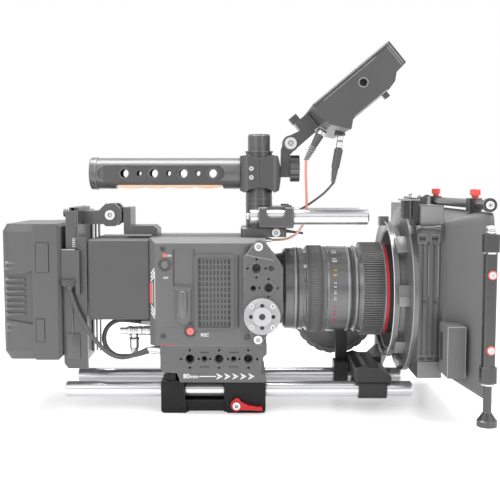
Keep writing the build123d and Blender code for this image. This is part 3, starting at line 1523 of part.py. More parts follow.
# Matte box bracket: a bridge clamp on both rods with an arm to the swing-away pin
bridge_rear_x = 140.0
bridge_front_x = 167.0
bridge_top_z = 43.0
with BuildPart() as matte_bracket:
    with BuildSketch(front_plane(bridge_rear_x)):
        with Locations((-rod_y, rod_z + 0.5), (rod_y, rod_z + 0.5)):
            RectangleRounded(2 * sleeve_half - 2.0, 2 * sleeve_half, 6.5)
    extrude(amount=bridge_front_x - bridge_rear_x)
    with BuildSketch(side_plane(rod_y + sleeve_half)):
        with BuildLine():
            Polyline(
                (bridge_rear_x - 3.0, rod_z + sleeve_half - 1.0),
                (bridge_rear_x - 3.0, bridge_top_z - 1.0),
                (bridge_rear_x + 3.0, bridge_top_z + 1.0),
                (bridge_rear_x + 9.0, bridge_top_z - 1.0),
                (bridge_front_x - 8.0, bridge_top_z - 1.0),
                (bridge_front_x + 4.0, rod_z + sleeve_half + 4.0),
                (bridge_front_x + 4.0, rod_z + sleeve_half - 1.0),
                close=True,
            )
        make_face()
    extrude(amount=2 * (rod_y + sleeve_half))
    with BuildSketch(Plane.XY.offset(knuckle_foot_z)):
        with BuildLine():
            Polyline(
                (bridge_front_x - 10.0, rod_y - 6.0),
                (bridge_front_x + 3.9, rod_y - 6.0),
                (swing_pin_x + 6.0, swing_pin_y - 4.0),
                (swing_pin_x - 6.0, swing_pin_y + 4.0),
                (bridge_front_x - 10.0, rod_y + sleeve_half + 4.0),
                close=True,
            )
        make_face()
        with Locations((swing_pin_x, swing_pin_y)):
            Circle(knuckle_radius)
    extrude(amount=knuckle_split_z - knuckle_foot_z)
    with BuildSketch(Plane.XY.offset(knuckle_split_z)):
        with Locations((swing_pin_x, swing_pin_y)):
            Circle(swing_pin_radius)
    extrude(amount=knuckle_top_z - knuckle_split_z + 2.0)
    with BuildSketch(front_plane(bridge_rear_x)):
        with Locations((-rod_y, rod_z), (rod_y, rod_z)):
            Circle(rod_radius + contact_gap)
    extrude(amount=bridge_front_x - bridge_rear_x, mode=Mode.SUBTRACT)
save(matte_bracket, "matte_bracket")

# Matte ring: the turned rear flange of the matte box, its clamp lugs and hinge knuckle
with BuildPart() as matte_ring:
    with BuildSketch(near_side):
        with BuildLine():
            Polyline(
                (matte_rear_x, lens_z + ring_bore_radius + 6.0),
                (matte_rear_x, lens_z + ring_rim_radius),
                (matte_rear_x + 5.0, lens_z + ring_rim_radius),
                (matte_rear_x + 6.5, lens_z + ring_bore_radius + 5.0),
                (flange_rear_x - 4.0, lens_z + ring_bore_radius + 5.0),
                (flange_rear_x - 1.0, lens_z + ring_flange_radius - 7.0),
                (flange_rear_x, lens_z + ring_flange_radius),
                (stage_rear_x, lens_z + ring_flange_radius),
                (stage_rear_x, lens_z + ring_bore_radius),
                (matte_rear_x + 4.0, lens_z + ring_bore_radius),
                close=True,
            )
        make_face()
    revolve(axis=lens_axis)
    with BuildSketch(front_plane(matte_rear_x + 3.0)):
        for angle in (137, 178, 226):
            with Locations((0, lens_z)):
                with PolarLocations(ring_bore_radius + 8.0, 1, start_angle=angle):
                    Rectangle(9.0, 18.0)
    extrude(amount=12.0)
    with BuildSketch(front_plane(matte_rear_x - 5.0)):
        with Locations((0, lens_z + ring_rim_radius)):
            Rectangle(10.0, 9.0)
    extrude(amount=9.0)
    with BuildSketch(Plane.XY.offset(knuckle_split_z + seat_gap)):
        with BuildLine():
            Polyline(
                (flange_rear_x - 1.5, 50.0),
                (stage_rear_x, 50.0),
                (stage_rear_x, stage_width / 2 + seat_gap * 2),
                (swing_pin_x + 6.0, swing_pin_y),
                (swing_pin_x - 4.0, swing_pin_y),
                close=True,
            )
        make_face()
        with Locations((swing_pin_x, swing_pin_y)):
            Circle(knuckle_radius)
    extrude(amount=knuckle_top_z - knuckle_split_z - seat_gap)
    with BuildSketch(Plane.XY.offset(knuckle_split_z)):
        with Locations((swing_pin_x, swing_pin_y)):
            Circle(swing_pin_radius + running_gap)
    extrude(amount=knuckle_top_z - knuckle_split_z + 1, mode=Mode.SUBTRACT)
save(matte_ring, "matte_ring")

# Filter stage: a framed box with two open-topped slots and ribbed sides
stage_wall = (stage_length - 2 * tray_thickness - 4 * slide_gap) / 3
slot_floor_z = stage_bottom_z + 11.0
slot_width = tray_width + 2 * slide_gap
with BuildPart() as filter_stage:
    with BuildSketch(front_plane(stage_rear_x)):
        with Locations((0, (stage_bottom_z + stage_top_z) / 2)):
            Rectangle(stage_width, stage_top_z - stage_bottom_z)
        with Locations((0, lens_z)):
            RectangleRounded(window_size, window_size, 4.0, mode=Mode.SUBTRACT)
    extrude(amount=stage_length)
    for index in range(2):
        slot_x = stage_rear_x + stage_wall + index * (
            tray_thickness + 2 * slide_gap + stage_wall
        )
        with BuildSketch(Plane.XY.offset(slot_floor_z)):
            with Locations((slot_x + tray_thickness / 2 + slide_gap, 0)):
                Rectangle(tray_thickness + 2 * slide_gap, slot_width)
        extrude(amount=stage_top_z - slot_floor_z, mode=Mode.SUBTRACT)
    for side in (-1, 1):
        with BuildSketch(Plane.XY.offset(stage_bottom_z + 22.0)):
            with Locations((stage_rear_x + stage_length / 2, side * stage_width / 2)):
                with GridLocations(5.2, 1, 4, 1):
                    Rectangle(2.2, 3.0)
        extrude(amount=stage_top_z - stage_bottom_z - 40.0, mode=Mode.SUBTRACT)
        with BuildSketch(side_plane(side * stage_width / 2)):
            with Locations((stage_rear_x + 9.6, stage_top_z - 24.8)):
                Rectangle(18.6, 16.0)
        extrude(amount=-side * 3.5)
save(filter_stage, "filter_stage")


def filter_tray(index, name):
    """A frame that slides down into its slot, with a finger tab above the stage."""
    tray_x = stage_rear_x + stage_wall + slide_gap + index * (
        tray_thickness + 2 * slide_gap + stage_wall
    )
    with BuildPart() as tray:
        with BuildSketch(front_plane(tray_x)):
            with Locations((0, (slot_floor_z + stage_top_z) / 2)):
                Rectangle(tray_width, stage_top_z - slot_floor_z)
            with Locations((0, stage_top_z + 3.5)):
                Rectangle(34.0, 7.0)
            with Locations((0, lens_z)):
                RectangleRounded(window_size, window_size, 4.0, mode=Mode.SUBTRACT)
        extrude(amount=tray_thickness)
    save(tray, name)


filter_tray(0, "filter_tray_rear")
filter_tray(1, "filter_tray_front")

# Hood: a flared shell with a rear plate, a front rim and a side flag box
hood_rear_x = stage_front_x
hood_flange = 2.5


def hood_section(x, width, bottom_z, top_z, inset, corner):
    """One rounded cross-section of the hood."""
    with BuildSketch(front_plane(x)) as section:
        with Locations((0, (bottom_z + top_z) / 2)):
            RectangleRounded(
                width - 2 * inset, top_z - bottom_z - 2 * inset, corner
            )
    return section.sketch


rim_x = hood_front_x - 3.0
outer_rear = hood_section(
    hood_rear_x, stage_width, hood_rear_bottom_z, hood_rear_top_z, 0, 5.0
)
outer_front = hood_section(
    rim_x, hood_front_width, hood_front_bottom_z, hood_front_top_z, 0, 8.0
)
inner_rear = hood_section(
    hood_rear_x + hood_flange, stage_width, hood_rear_bottom_z, hood_rear_top_z, hood_wall + 0.5, 3.5
)
inner_front = hood_section(
    rim_x, hood_front_width, hood_front_bottom_z, hood_front_top_z, hood_wall, 6.0
)
with BuildPart() as hood:
    loft([outer_rear, outer_front])
    with BuildSketch(front_plane(rim_x)):
        with Locations((0, (hood_front_bottom_z + hood_front_top_z) / 2)):
            RectangleRounded(
                hood_front_width, hood_front_top_z - hood_front_bottom_z, 8.0
            )
    extrude(amount=hood_front_x - rim_x)
    with BuildSketch(side_plane(-82.0)):
        with Locations((hood_rear_x + 4.7, 72.0)):
            RectangleRounded(16.5, 46.0, 1.5)
    extrude(amount=29.0)
    loft([inner_rear, inner_front], mode=Mode.SUBTRACT)
    with BuildSketch(front_plane(rim_x)):
        with Locations((0, (hood_front_bottom_z + hood_front_top_z) / 2)):
            RectangleRounded(
                hood_front_width - 2 * hood_wall,
                hood_front_top_z - hood_front_bottom_z - 2 * hood_wall,
                6.0,
            )
    extrude(amount=hood_front_x - rim_x, mode=Mode.SUBTRACT)
    with BuildSketch(front_plane(hood_rear_x)):
        with Locations((0, lens_z)):
            RectangleRounded(window_size, window_size, 4.0)
    extrude(amount=hood_flange, mode=Mode.SUBTRACT)
save(hood, "hood")

# Flag bar: a round bar across the hood's top with two saddles and ringed ends
bar_x = hood_front_x - 3.0
with BuildPart() as flag_bar:
    with BuildSketch(side_plane(flag_bar_half_length)):
        with Locations((bar_x, flag_bar_z)):
            Circle(flag_bar_radius)
    extrude(amount=2 * flag_bar_half_length)
    for side in (-1, 1):
        with BuildSketch(side_plane(side * (flag_bar_half_length + 3.0))):
            with Locations((bar_x, flag_bar_z)):
                Circle(flag_bar_radius + 1.8)
        extrude(amount=side * 5.0)
        with BuildSketch(Plane.XY.offset(hood_front_top_z)):
            with Locations((bar_x - 1.0, side * thumb_screw_y)):
                RectangleRounded(12.0, 11.0, 1.0)
        extrude(amount=flag_bar_z + flag_bar_radius + 1.0 - hood_front_top_z)
    with BuildSketch(Plane.XY.offset(hood_front_top_z)):
        with Locations((bar_x, -thumb_screw_y), (bar_x, thumb_screw_y)):
            Circle(2.0 + running_gap)
    extrude(amount=30.0, mode=Mode.SUBTRACT)
save(flag_bar, "flag_bar")

saddle_top_z = flag_bar_z + flag_bar_radius + 1.0


def thumb_screw(centre_y, name):
    """A knurled screw that pinches the flag bar's saddle."""
    with BuildPart() as screw:
        with BuildSketch(Plane.XY.offset(hood_front_top_z + 1.0)):
            with Locations((bar_x, centre_y)):
                Circle(2.0)
        extrude(amount=saddle_top_z - hood_front_top_z + 3.0)
        with BuildSketch(Plane.XY.offset(saddle_top_z + seat_gap)):
            with Locations((bar_x, centre_y)):
                Circle(thumb_head_radius - 1.4)
        extrude(amount=3.0)
        with BuildSketch(Plane.XY.offset(saddle_top_z + 2.5)):
            with Locations((bar_x, centre_y)):
                Circle(thumb_head_radius)
                with PolarLocations(thumb_head_radius + 0.3, 12):
                    Circle(0.8, mode=Mode.SUBTRACT)
        extrude(amount=5.5)
        chamfer(screw.faces().sort_by(Axis.Z)[-1].edges().filter_by(GeomType.CIRCLE), 0.3)
    save(screw, name)


thumb_screw(-thumb_screw_y, "thumb_screw_near")
thumb_screw(thumb_screw_y, "thumb_screw_far")

# Hood posts: turned posts at the front corners, with a cone foot, two clamps and a knob
hood_half = hood_front_width / 2
hood_post_x = bar_x - 1.0
hood_post_axis = 4.6
with BuildPart() as hood_posts:
    for side in (-1, 1):
        post_side = side * (hood_half + hood_post_axis)
        with BuildSketch(side_plane(post_side)):
            with BuildLine():
                Polyline(
                    (hood_post_x, hood_post_bottom_z),
                    (hood_post_x + 8.6, hood_post_bottom_z),
                    (hood_post_x + 8.6, hood_post_bottom_z + 5.0),
                    (hood_post_x + 7.8, hood_post_bottom_z + 5.8),
                    (hood_post_x + 3.6, hood_post_bottom_z + 12.0),
                    (hood_post_x + 3.6, hood_post_top_z - 5.5),
                    (hood_post_x + 4.2, hood_post_top_z - 5.5),
                    (hood_post_x + 4.2, hood_post_top_z - 4.5),
                    (hood_post_x + 3.2, hood_post_top_z - 3.8),
                    (hood_post_x + 3.2, hood_post_top_z - 2.6),
                    (hood_post_x + 4.2, hood_post_top_z - 2.0),
                    (hood_post_x + 3.6, hood_post_top_z),
                    (hood_post_x, hood_post_top_z),
                    close=True,
                )
            make_face()
        revolve(axis=Axis((hood_post_x, post_side, 0), (0, 0, 1)))
        for middle_z, cover_length, cover_width, cover_height in (
            (113.0, 10.0, 9.0, 98.0),
            (169.0, 13.0, 9.8, 15.0),
            (57.7, 13.0, 9.8, 14.0),
        ):
            with BuildSketch(Plane.XY.offset(middle_z - cover_height / 2)):
                with Locations((hood_post_x, side * (hood_half + cover_width / 2))):
                    RectangleRounded(cover_length, cover_width, 1.5)
            extrude(amount=cover_height)
save(hood_posts, "hood_posts")

# Socket screws: the small silver cap screws in the cage, the clamps and the rosette
cap_screw = socket_screw(4.0, 2.2, cap_shank_radius, cap_shank_length)
clamp_screw = socket_screw(2.2, 1.4, clamp_shank_radius, cap_shank_length)
rosette_screw = socket_screw(2.3, 1.4, rosette_shank_radius, rosette_thickness - 1.6)
with BuildPart() as socket_screws:
    for pattern, places, wall_y in (
        (cap_screw, cage_screws, cage_near_y),
        (clamp_screw, clamp_screws, -clamp_width / 2),
        (cap_screw, (foot_screw,), -post_base_width / 2),
    ):
        for screw_x, screw_z in places:
            with Locations(Plane((screw_x, wall_y, screw_z), (1, 0, 0), (0, -1, 0))):
                add(pattern)
    with Locations(
        Plane(
            (rosette_x, cage_near_y - rosette_thickness + 1.6, rosette_z),
            (1, 0, 0),
            (0, -1, 0),
        )
    ):
        with PolarLocations(rosette_screw_circle, 4, start_angle=45):
            add(rosette_screw)
save(socket_screws, "socket_screws")

# Pivot bolts: the swing arm's bolt and the monitor arm's bolt, each with its head near
with BuildPart() as pivot_bolts:
    for bolt_x, bolt_z, width, head in (
        (swing_x, swing_z, swing_arm_width, 4.8),
        (monitor_pivot_x, monitor_pivot_z, arm_upper_width, 5.8),
    ):
        with BuildSketch(side_plane(-width / 2)):
            with Locations((bolt_x, bolt_z)):
                Circle(head)
        extrude(amount=2.6)
        with BuildSketch(side_plane(-width / 2 - 2.6)):
            with Locations((bolt_x, bolt_z)):
                RegularPolygon(head * 0.5, 6)
        extrude(amount=-1.6, mode=Mode.SUBTRACT)
        with BuildSketch(side_plane(-width / 2)):
            with Locations((bolt_x, bolt_z)):
                Circle(swing_bolt_radius)
        extrude(amount=-width)
save(pivot_bolts, "pivot_bolts")

# Cord routes, each a list of points chosen by hand
power_cable_radius = 2.1
signal_cable_radius = 2.3
red_cable_radius = 1.2
monitor_cable_radius = 1.1
power_route = (
    (-135.4, -44.5, 118.0),
    (-131.0, -44.8, 103.5),
    (-124.5, -45.0, 90.0),
    (-117.0, -44.8, 77.0),
    (-108.5, -44.2, 65.5),
    (-98.5, -43.0, 56.0),
    (-87.5, -41.5, 52.2),
    (-76.0, -39.5, 54.6),
    (-63.0, -38.0, 60.5),
)
signal_route = (
    (-72.0, -14.0, 83.0),
    (-83.0, -14.2, 84.7),
    (-98.0, -15.4, 85.2),
    (-108.2, -17.4, 75.2),
    (-108.2, -20.0, 61.0),
    (-98.0, -22.8, 50.8),
    (-84.0, -25.0, 50.6),
    (-73.0, -26.0, 53.0),
    (-63.0, -26.4, 56.2),
)
red_route = (
    (89.4, -14.0, 241.7),
    (89.0, -14.4, 229.0),
    (89.8, -14.2, 214.0),
    (90.4, -13.8, 199.0),
    (89.4, -13.4, 185.5),
    (84.5, -13.0, 173.5),
    (76.0, -12.6, 166.2),
    (66.0, -12.2, 163.6),
    (56.0, -12.0, 163.8),
)
monitor_route = (
    (115.0, -20.0, 219.0),
    (109.6, -18.6, 212.0),
    (101.8, -15.6, 205.4),
    (93.6, -11.0, 199.2),
    (84.6, -5.4, 193.2),
    (74.6, -1.2, 189.2),
    (63.0, 0.0, 188.0),
)


def facing(start, end):
    """A drawing plane at start, square to the run that leaves it for end."""
    return Plane(start, z_dir=Vector(*end) - Vector(*start))


# Power plug: a terminal block on the battery plate's near side, its boot and relief
plug_foot_z = power_route[0][2] + 4.0
plug_block_height = 34.0
with BuildPart() as power_plug:
    with BuildSketch(side_plane(-plate_width / 2)):
        with BuildLine():
            Polyline(
                (plate_rear_x, plug_foot_z + 6.0),
                (plate_front_x - 2.0, plug_foot_z + 6.0),
                (plate_front_x - 4.0, plug_foot_z),
                (plate_rear_x + 3.6, plug_foot_z),
                close=True,
            )
        make_face()
    extrude(amount=8.6)
    with BuildSketch(side_plane(-plate_width / 2)):
        with BuildLine():
            Polyline(
                (plate_rear_x, plug_foot_z),
                (plate_rear_x, plug_foot_z + plug_block_height),
                (plate_front_x + 2.0, plug_foot_z + plug_block_height),
                (plate_front_x + 2.0, plug_foot_z - 8.0),
                (plate_front_x - 1.5, plug_foot_z - 8.0),
                (plate_front_x - 1.5, plug_foot_z),
                close=True,
            )
        make_face()
    extrude(amount=5.6)
    fillet(power_plug.edges().filter_by(Axis.Y).group_by(Axis.Z)[-1], 1.5)
    with BuildSketch(Plane.XY.offset(plug_foot_z)):
        with Locations((power_route[0][0], power_route[0][1])):
            Circle(power_cable_radius + 1.4)
    with BuildSketch(facing(power_route[0], power_route[1])):
        Circle(power_cable_radius + 0.6)
    loft()
save(power_plug, "power_plug")

# Camera plugs: a ringed connector with an elbow, and the sockets that the cords enter
connector_y = -30.0
connector_z = 77.0
connector_rear_x = -84.0
elbow_x = camera_rear_x - 17.0
with BuildPart() as camera_plugs:
    for front_x, rear_x, radius in (
        (camera_rear_x, camera_rear_x - 8.0, 4.4),
        (camera_rear_x - 8.0, connector_rear_x, 3.9),
        (camera_rear_x - 3.0, camera_rear_x - 4.8, 4.9),
        (camera_rear_x - 10.5, camera_rear_x - 12.3, 4.9),
        (camera_rear_x - 20.5, camera_rear_x - 22.3, 4.9),
        (connector_rear_x, connector_rear_x - 6.5, 3.2),
    ):
        with BuildSketch(front_plane(front_x)):
            with Locations((connector_y, connector_z)):
                Circle(radius)
        extrude(amount=rear_x - front_x)
    for drop, height, radius in ((0, 20.0, 3.6), (6.5, 10.0, 4.4), (19.0, 3.0, 3.0)):
        with BuildSketch(Plane.XY.offset(connector_z - drop)):
            with Locations((elbow_x, connector_y)):
                Circle(radius)
        extrude(amount=-height)
    for wall_x, end, inward, radius in (
        (camera_rear_x, signal_route[0], signal_route[1], signal_cable_radius),
        (-riser_width / 2, signal_route[-1], signal_route[-2], signal_cable_radius),
        (-riser_width / 2, power_route[-1], power_route[-2], power_cable_radius),
        (camera_front_x, red_route[-1], red_route[-2], red_cable_radius),
        (post_x + post_radius - 1.0, monitor_route[-1], monitor_route[-2], monitor_cable_radius),
    ):
        with BuildSketch(front_plane(wall_x)):
            with Locations((end[1], end[2])):
                Circle(radius + 1.6)
        with BuildSketch(facing(end, inward)):
            Circle(radius + 0.5)
        loft()
    with BuildSketch(Plane.XY.offset(post_base_top_z)):
        with Locations((post_x, 0)):
            Circle(post_radius + contact_gap)
    extrude(amount=clamp_bottom_z - post_base_top_z, mode=Mode.SUBTRACT)
save(camera_plugs, "camera_plugs")

# Monitor plugs: a long relief for the red cord and a right-angled jack for the dark one
relief_start = (105.4, -14.0, 271.0)
jack_foot = (122.4, -20.0, 266.8)
jack_neck = (120.6, -20.0, 252.0)
barrel_end = (117.2, -20.0, 234.0)
with BuildPart() as monitor_plugs:
    for start, end, beyond, start_radius, end_radius in (
        (relief_start, red_route[0], red_route[1], 4.8, red_cable_radius + 0.8),
        (jack_foot, jack_neck, barrel_end, 2.8, 2.8),
        (jack_neck, barrel_end, monitor_route[0], 4.2, 3.8),
        (barrel_end, monitor_route[0], monitor_route[1], 3.2, monitor_cable_radius + 0.6),
    ):
        with BuildSketch(facing(start, end)):
            Circle(start_radius)
        with BuildSketch(facing(end, beyond)):
            Circle(end_radius)
        loft()
    with BuildSketch(Plane.XY.offset(jack_foot[2] - 2.0)):
        with Locations((jack_foot[0] - 1.0, jack_foot[1])):
            Circle(5.6)
    extrude(amount=4.6, taper=12)
    add(monitor_housing.part, mode=Mode.SUBTRACT)
save(monitor_plugs, "monitor_plugs")


def cord(route, radius, name):
    """A round tube of straight runs joined by tangent arcs as large as the runs allow."""
    points = [Vector(*point) for point in route]
    bends = []
    for before, corner, after in zip(points, points[1:], points[2:]):
        turn = (corner - before).get_angle(after - corner)
        shorter = min((corner - before).length, (after - corner).length)
        bends.append(0.45 * shorter / tan(radians(turn) / 2))
    with BuildPart() as tube:
        with BuildLine() as path:
            FilletPolyline(*points, radius=bends)
        with BuildSketch(facing(route[0], route[1])):
            Circle(radius)
        sweep(path=path.wires()[0])
    length = path.wires()[0].length
    share = tube.part.volume / (length * pi * radius**2)
    print(name, "length", round(length), "bends", [round(bend) for bend in bends])
    print(name, "volume against section times length", round(share, 4))
    save(tube, name)


cord(power_route, power_cable_radius, "power_cable")
cord(signal_route, signal_cable_radius, "signal_cable")
cord(red_route, red_cable_radius, "red_cable")
cord(monitor_route, monitor_cable_radius, "monitor_cable")
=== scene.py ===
from functools import reduce
from math import atan2, cos, pi, radians, sin

import bpy
from mathutils import Matrix, Vector


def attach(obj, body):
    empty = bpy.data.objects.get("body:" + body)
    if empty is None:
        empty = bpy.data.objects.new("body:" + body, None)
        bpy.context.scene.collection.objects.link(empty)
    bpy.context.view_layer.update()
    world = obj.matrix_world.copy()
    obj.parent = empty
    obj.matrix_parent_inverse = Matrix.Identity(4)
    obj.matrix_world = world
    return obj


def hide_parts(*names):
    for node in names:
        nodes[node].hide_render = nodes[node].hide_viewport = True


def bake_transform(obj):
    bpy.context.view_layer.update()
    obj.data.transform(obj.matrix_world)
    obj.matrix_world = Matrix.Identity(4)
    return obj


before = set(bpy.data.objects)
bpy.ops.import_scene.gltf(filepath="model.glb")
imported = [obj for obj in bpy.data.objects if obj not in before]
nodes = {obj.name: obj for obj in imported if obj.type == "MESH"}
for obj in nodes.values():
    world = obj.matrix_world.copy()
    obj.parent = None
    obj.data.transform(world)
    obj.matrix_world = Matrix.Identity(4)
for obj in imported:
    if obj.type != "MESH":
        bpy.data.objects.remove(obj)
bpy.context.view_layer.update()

# Studio: a white table and a white surround, lit by two large soft boxes, a strip
# over the top and a narrow strip on each side. The camera stands on the near side,
# a little above the rig's middle, and is tipped a little down.


def worked_out(operation, swapped=False):
    """A method that works out a wire from itself and a second value, with a Math node."""
    def method(wire, other=0.0):
        first, second = (other, wire) if swapped else (wire, other)
        return wire.node("Math", {0: first, 1: second}, operation=operation)
    return method


class Wire:
    """An output of a finish's node tree. Sums and products of wires add Math nodes."""

    __add__ = worked_out("ADD")
    __sub__ = worked_out("SUBTRACT")
    __rsub__ = worked_out("SUBTRACT", swapped=True)
    __mul__ = worked_out("MULTIPLY")
    __truediv__ = worked_out("DIVIDE")
    __gt__ = worked_out("GREATER_THAN")
    __lt__ = worked_out("LESS_THAN")
    __abs__ = worked_out("ABSOLUTE")
    lesser = worked_out("MINIMUM")
    greater = worked_out("MAXIMUM")

    def __init__(self, tree, socket):
        self.tree = tree
        self.socket = socket

    def node(self, kind, values, output=0, **settings):
        """Adds a node of any kind: its settings first, then what goes into its sockets."""
        made = self.tree.nodes.new("ShaderNode" + kind)
        for name, setting in settings.items():
            setattr(made, name, setting)
        fill(made, values)
        return Wire(self.tree, made.outputs[output])

    def between(self, low, high):
        """1 where this wire lies between two values."""
        return (self > low) * (self < high)

    def eased(self):
        """This wire, held between 0 and 1."""
        return self.greater(0).lesser(1)

    def axes(self):
        """The three parts of a place: along the rods, across them and up."""
        return [self.node("SeparateXYZ", {0: self}, part) for part in range(3)]

    def shade(self, low, high):
        """A colour that runs from low to high as this wire runs from 0 to 1."""
        return self.node("Mix", {0: self, 6: low, 7: high}, 2, data_type="RGBA")

    def cloud(self, scale, detail=3.0, stretch=(1, 1, 1)):
        """Soft noise over this place, in lumps of about 1 / scale metres."""
        laid = self.node("Mapping", {"Vector": self, "Scale": stretch})
        return self.node("TexNoise", {"Vector": laid, "Scale": scale, "Detail": detail})

    def open_sky(self, reach):
        """1 where nothing lies within reach of this place's surface, less in a corner."""
        return self.node("AmbientOcclusion", {"Distance": reach}, "AO", samples=6)

    def edges(self, sharpness):
        """1 on the edges of the piece, where a finish is rubbed and where a painted highlight is
        laid.
        """
        rounded = self.node("Bevel", {"Radius": 0.0006}, samples=4)
        flat = self.node("NewGeometry", {}, "Normal")
        agree = self.node("VectorMath", {0: rounded, 1: flat}, "Value", operation="DOT_PRODUCT")
        return ((1 - agree) * sharpness).lesser(1)

    def bump(self, strength, distance, **under):
        """The surface tilted as if this wire were its height."""
        values = {"Strength": strength, "Distance": distance, "Height": self, **under}
        return self.node("Bump", values)


def fill(made, values):
    """Sets or links a node's sockets, by name or number."""
    for name, value in values.items():
        socket = made.inputs[name]
        if isinstance(value, Wire):
            value.tree.links.new(value.socket, socket)
        elif socket.type == "RGBA":
            socket.default_value = (*value, 1)
        else:
            socket.default_value = value


def new_finish(name):
    """A new finish: the material, its shader, and the place on the piece."""
    made = bpy.data.materials.new(name)
    made.use_nodes = True
    tree = made.node_tree
    coordinates = tree.nodes.new("ShaderNodeTexCoord")
    return made, tree.nodes["Principled BSDF"], Wire(tree, coordinates.outputs["Object"])


def tone(red, green=None, blue=None):
    """A colour from 0 to 255 as it is seen, as the shader wants it."""
    seen = (red, red if green is None else green, red if blue is None else blue)
    return tuple((level / 255 / 12.92) if level < 10.3 else
                 ((level / 255 + 0.055) / 1.055) ** 2.4 for level in seen)


bpy.ops.object.select_all(action="DESELECT")
camera_place = (0.035, -0.815, 0.217)
camera_tip = radians(85.5)
sensor_width = 36
picture_width = 500
focal_pixels = 820
bpy.ops.object.camera_add(location=camera_place, rotation=(camera_tip, 0, 0))
camera = bpy.context.object
camera.name = "studio_camera"
camera.data.sensor_width = sensor_width
camera.data.lens = sensor_width * focal_pixels / picture_width
camera.data.clip_start = 0.01
bpy.context.scene.camera = camera
bpy.context.scene.view_settings.view_transform = "Standard"


def either(wires):
    """1 where any of the wires is 1."""
    return reduce(Wire.greater, wires)


def seen_plainly(tree):
    """1 where the camera sees the ray, straight, in a gloss or through glass."""
    path = tree.nodes.new("ShaderNodeLightPath")
    return either(Wire(tree, path.outputs[f"Is {kind} Ray"])
                  for kind in ("Camera", "Glossy", "Transmission"))


world = bpy.data.worlds.new("white_surround")
bpy.context.scene.world = world
world.use_nodes = True
around = world.node_tree
soft_level = 0.46
plain_level = 1.0
level = seen_plainly(around) * (plain_level - soft_level) + soft_level
fill(around.nodes["Background"], {"Color": (1, 1, 1), "Strength": level})

for name, place, size, power, tilt in (
    ("left_softbox", (-0.9, -1.1, 0.9), (0.9, 0.9), 6.0, (60, 0, -38)),
    ("right_softbox", (1.0, -1.0, 0.7), (0.8, 0.8), 4.0, (64, 0, 44)),
    ("top_strip", (0.0, 0.05, 1.2), (1.5, 0.5), 26.0, (0, 0, 0)),
    ("left_strip", (-0.62, -1.15, 0.34), (0.1, 0.9), 1.6, (84, 0, -30)),
    ("right_strip", (0.8, -1.1, 0.34), (0.1, 0.9), 1.3, (84, 0, 34)),
):
    turn = [radians(angle) for angle in tilt]
    bpy.ops.object.light_add(type="AREA", location=place, rotation=turn)
    lamp = bpy.context.object
    lamp.name = name
    lamp.data.shape = "RECTANGLE"
    lamp.data.size, lamp.data.size_y = size
    lamp.data.energy = power

table_size = 6.0
bpy.ops.mesh.primitive_plane_add(size=table_size, location=(0, 0, 0))
table = bpy.context.object
table.name = "white_table"
table_finish, shader, place = new_finish("white_lacquer")
speck = place.cloud(60, 2)
fill(shader, {
    "Base Color": speck.shade(tone(246), tone(250)),
    "Roughness": speck * 0.04 + 0.2,
    "Specular IOR Level": 0.3,
})
table.data.materials.append(table_finish)
table_tree = table_finish.node_tree
lacquer = Wire(table_tree, shader.outputs["BSDF"])
glow = place.node("Emission", {"Color": (1, 1, 1), "Strength": 0.36})
lit = place.node("AddShader", {0: lacquer, 1: glow})
plain = place.node("MixShader", {0: seen_plainly(table_tree), 1: lacquer, 2: lit})
fill(table_tree.nodes["Material Output"], {"Surface": plain})

# Black flags: two long cards, one low behind the camera and one high over it, so
# that bright metal shows dark lines. Only glosses see them.
flag_finish, shader, place = new_finish("black_card")
fill(shader, {"Base Color": place.cloud(30).shade(tone(30), tone(40)), "Roughness": 0.9})
for name, centre, size in (
    ("low_flag", (0.0, -1.3, 0.3), (3.2, 0.16)),
    ("high_flag", (0.0, -0.75, 1.25), (3.0, 0.22)),
):
    bpy.ops.mesh.primitive_plane_add(size=1, location=centre, rotation=(radians(90), 0, 0))
    flag = bpy.context.object
    flag.name = name
    flag.scale = (*size, 1)
    bpy.ops.object.transform_apply()
    flag.data.materials.append(flag_finish)
    flag.visible_camera = False
    flag.visible_diffuse = False
    flag.visible_shadow = False

# Cords: a thick power lead and a signal lead behind the camera, and two thin
# leads from the monitor down to the post. Each is a soft extruded sheath over
# wire, held by the plug at each end.


def dress(finish, *names):
    """Gives a finish to pieces of the frame."""
    for name in names:
        nodes[name].data.materials.clear()
        nodes[name].data.materials.append(finish)


def sheath(name, colour, worn, roughness, lifted_below=None):
    """Extruded sheathing: a slightly uneven satin surface, paler where it is handled.

    The last argument, when given, is a paler colour painted in below a height as painted light
    that lifts the shade there, and the foot and top of the change.
    """
    finish, shader, place = new_finish(name)
    handled = place.cloud(45, 3)
    skin = place.cloud(900, 2)
    dyed = handled.shade(colour, worn)
    if lifted_below:
        pale, foot, top = lifted_below
        height = place.axes()[2]
        # Painted light: below the foot the sheath is painted paler, to lift the shade that falls
        # on it.
        dyed = ((top - height) / (top - foot)).eased().shade(dyed, pale)
    fill(shader, {
        "Base Color": dyed,
        "Roughness": handled * 0.14 + roughness,
        "Specular IOR Level": 0.45,
        "Normal": skin.bump(0.25, 0.0002),
    })
    return finish


def pick(piece):
    """Makes a piece the active one, and the only one selected."""
    bpy.ops.object.select_all(action="DESELECT")
    piece.select_set(True)
    bpy.context.view_layer.objects.active = piece


def lead(node, route, thickness, finish, joined=None):
    """A cord along its route, from its exit to the far plug."""
    line = bpy.data.curves.new(node + "_sheath", "CURVE")
    line.dimensions = "3D"
    line.bevel_depth = thickness / 2
    line.bevel_resolution = 5
    line.resolution_u = 24
    line.use_fill_caps = True
    run = line.splines.new("NURBS")
    run.points.add(len(route) - 1)
    for point, (x, y, z) in zip(run.points, route):
        point.co = (x, y, z, 1)
    run.order_u = 3
    run.use_endpoint_u = True
    cord = bpy.data.objects.new(node + "_sheath", line)
    bpy.context.scene.collection.objects.link(cord)
    line.materials.append(finish)
    if joined:
        pick(cord)
        bpy.ops.object.convert(target="MESH")
        cord = bpy.context.object
        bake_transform(cord)
    else:
        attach(cord, "camera")
    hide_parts(node)


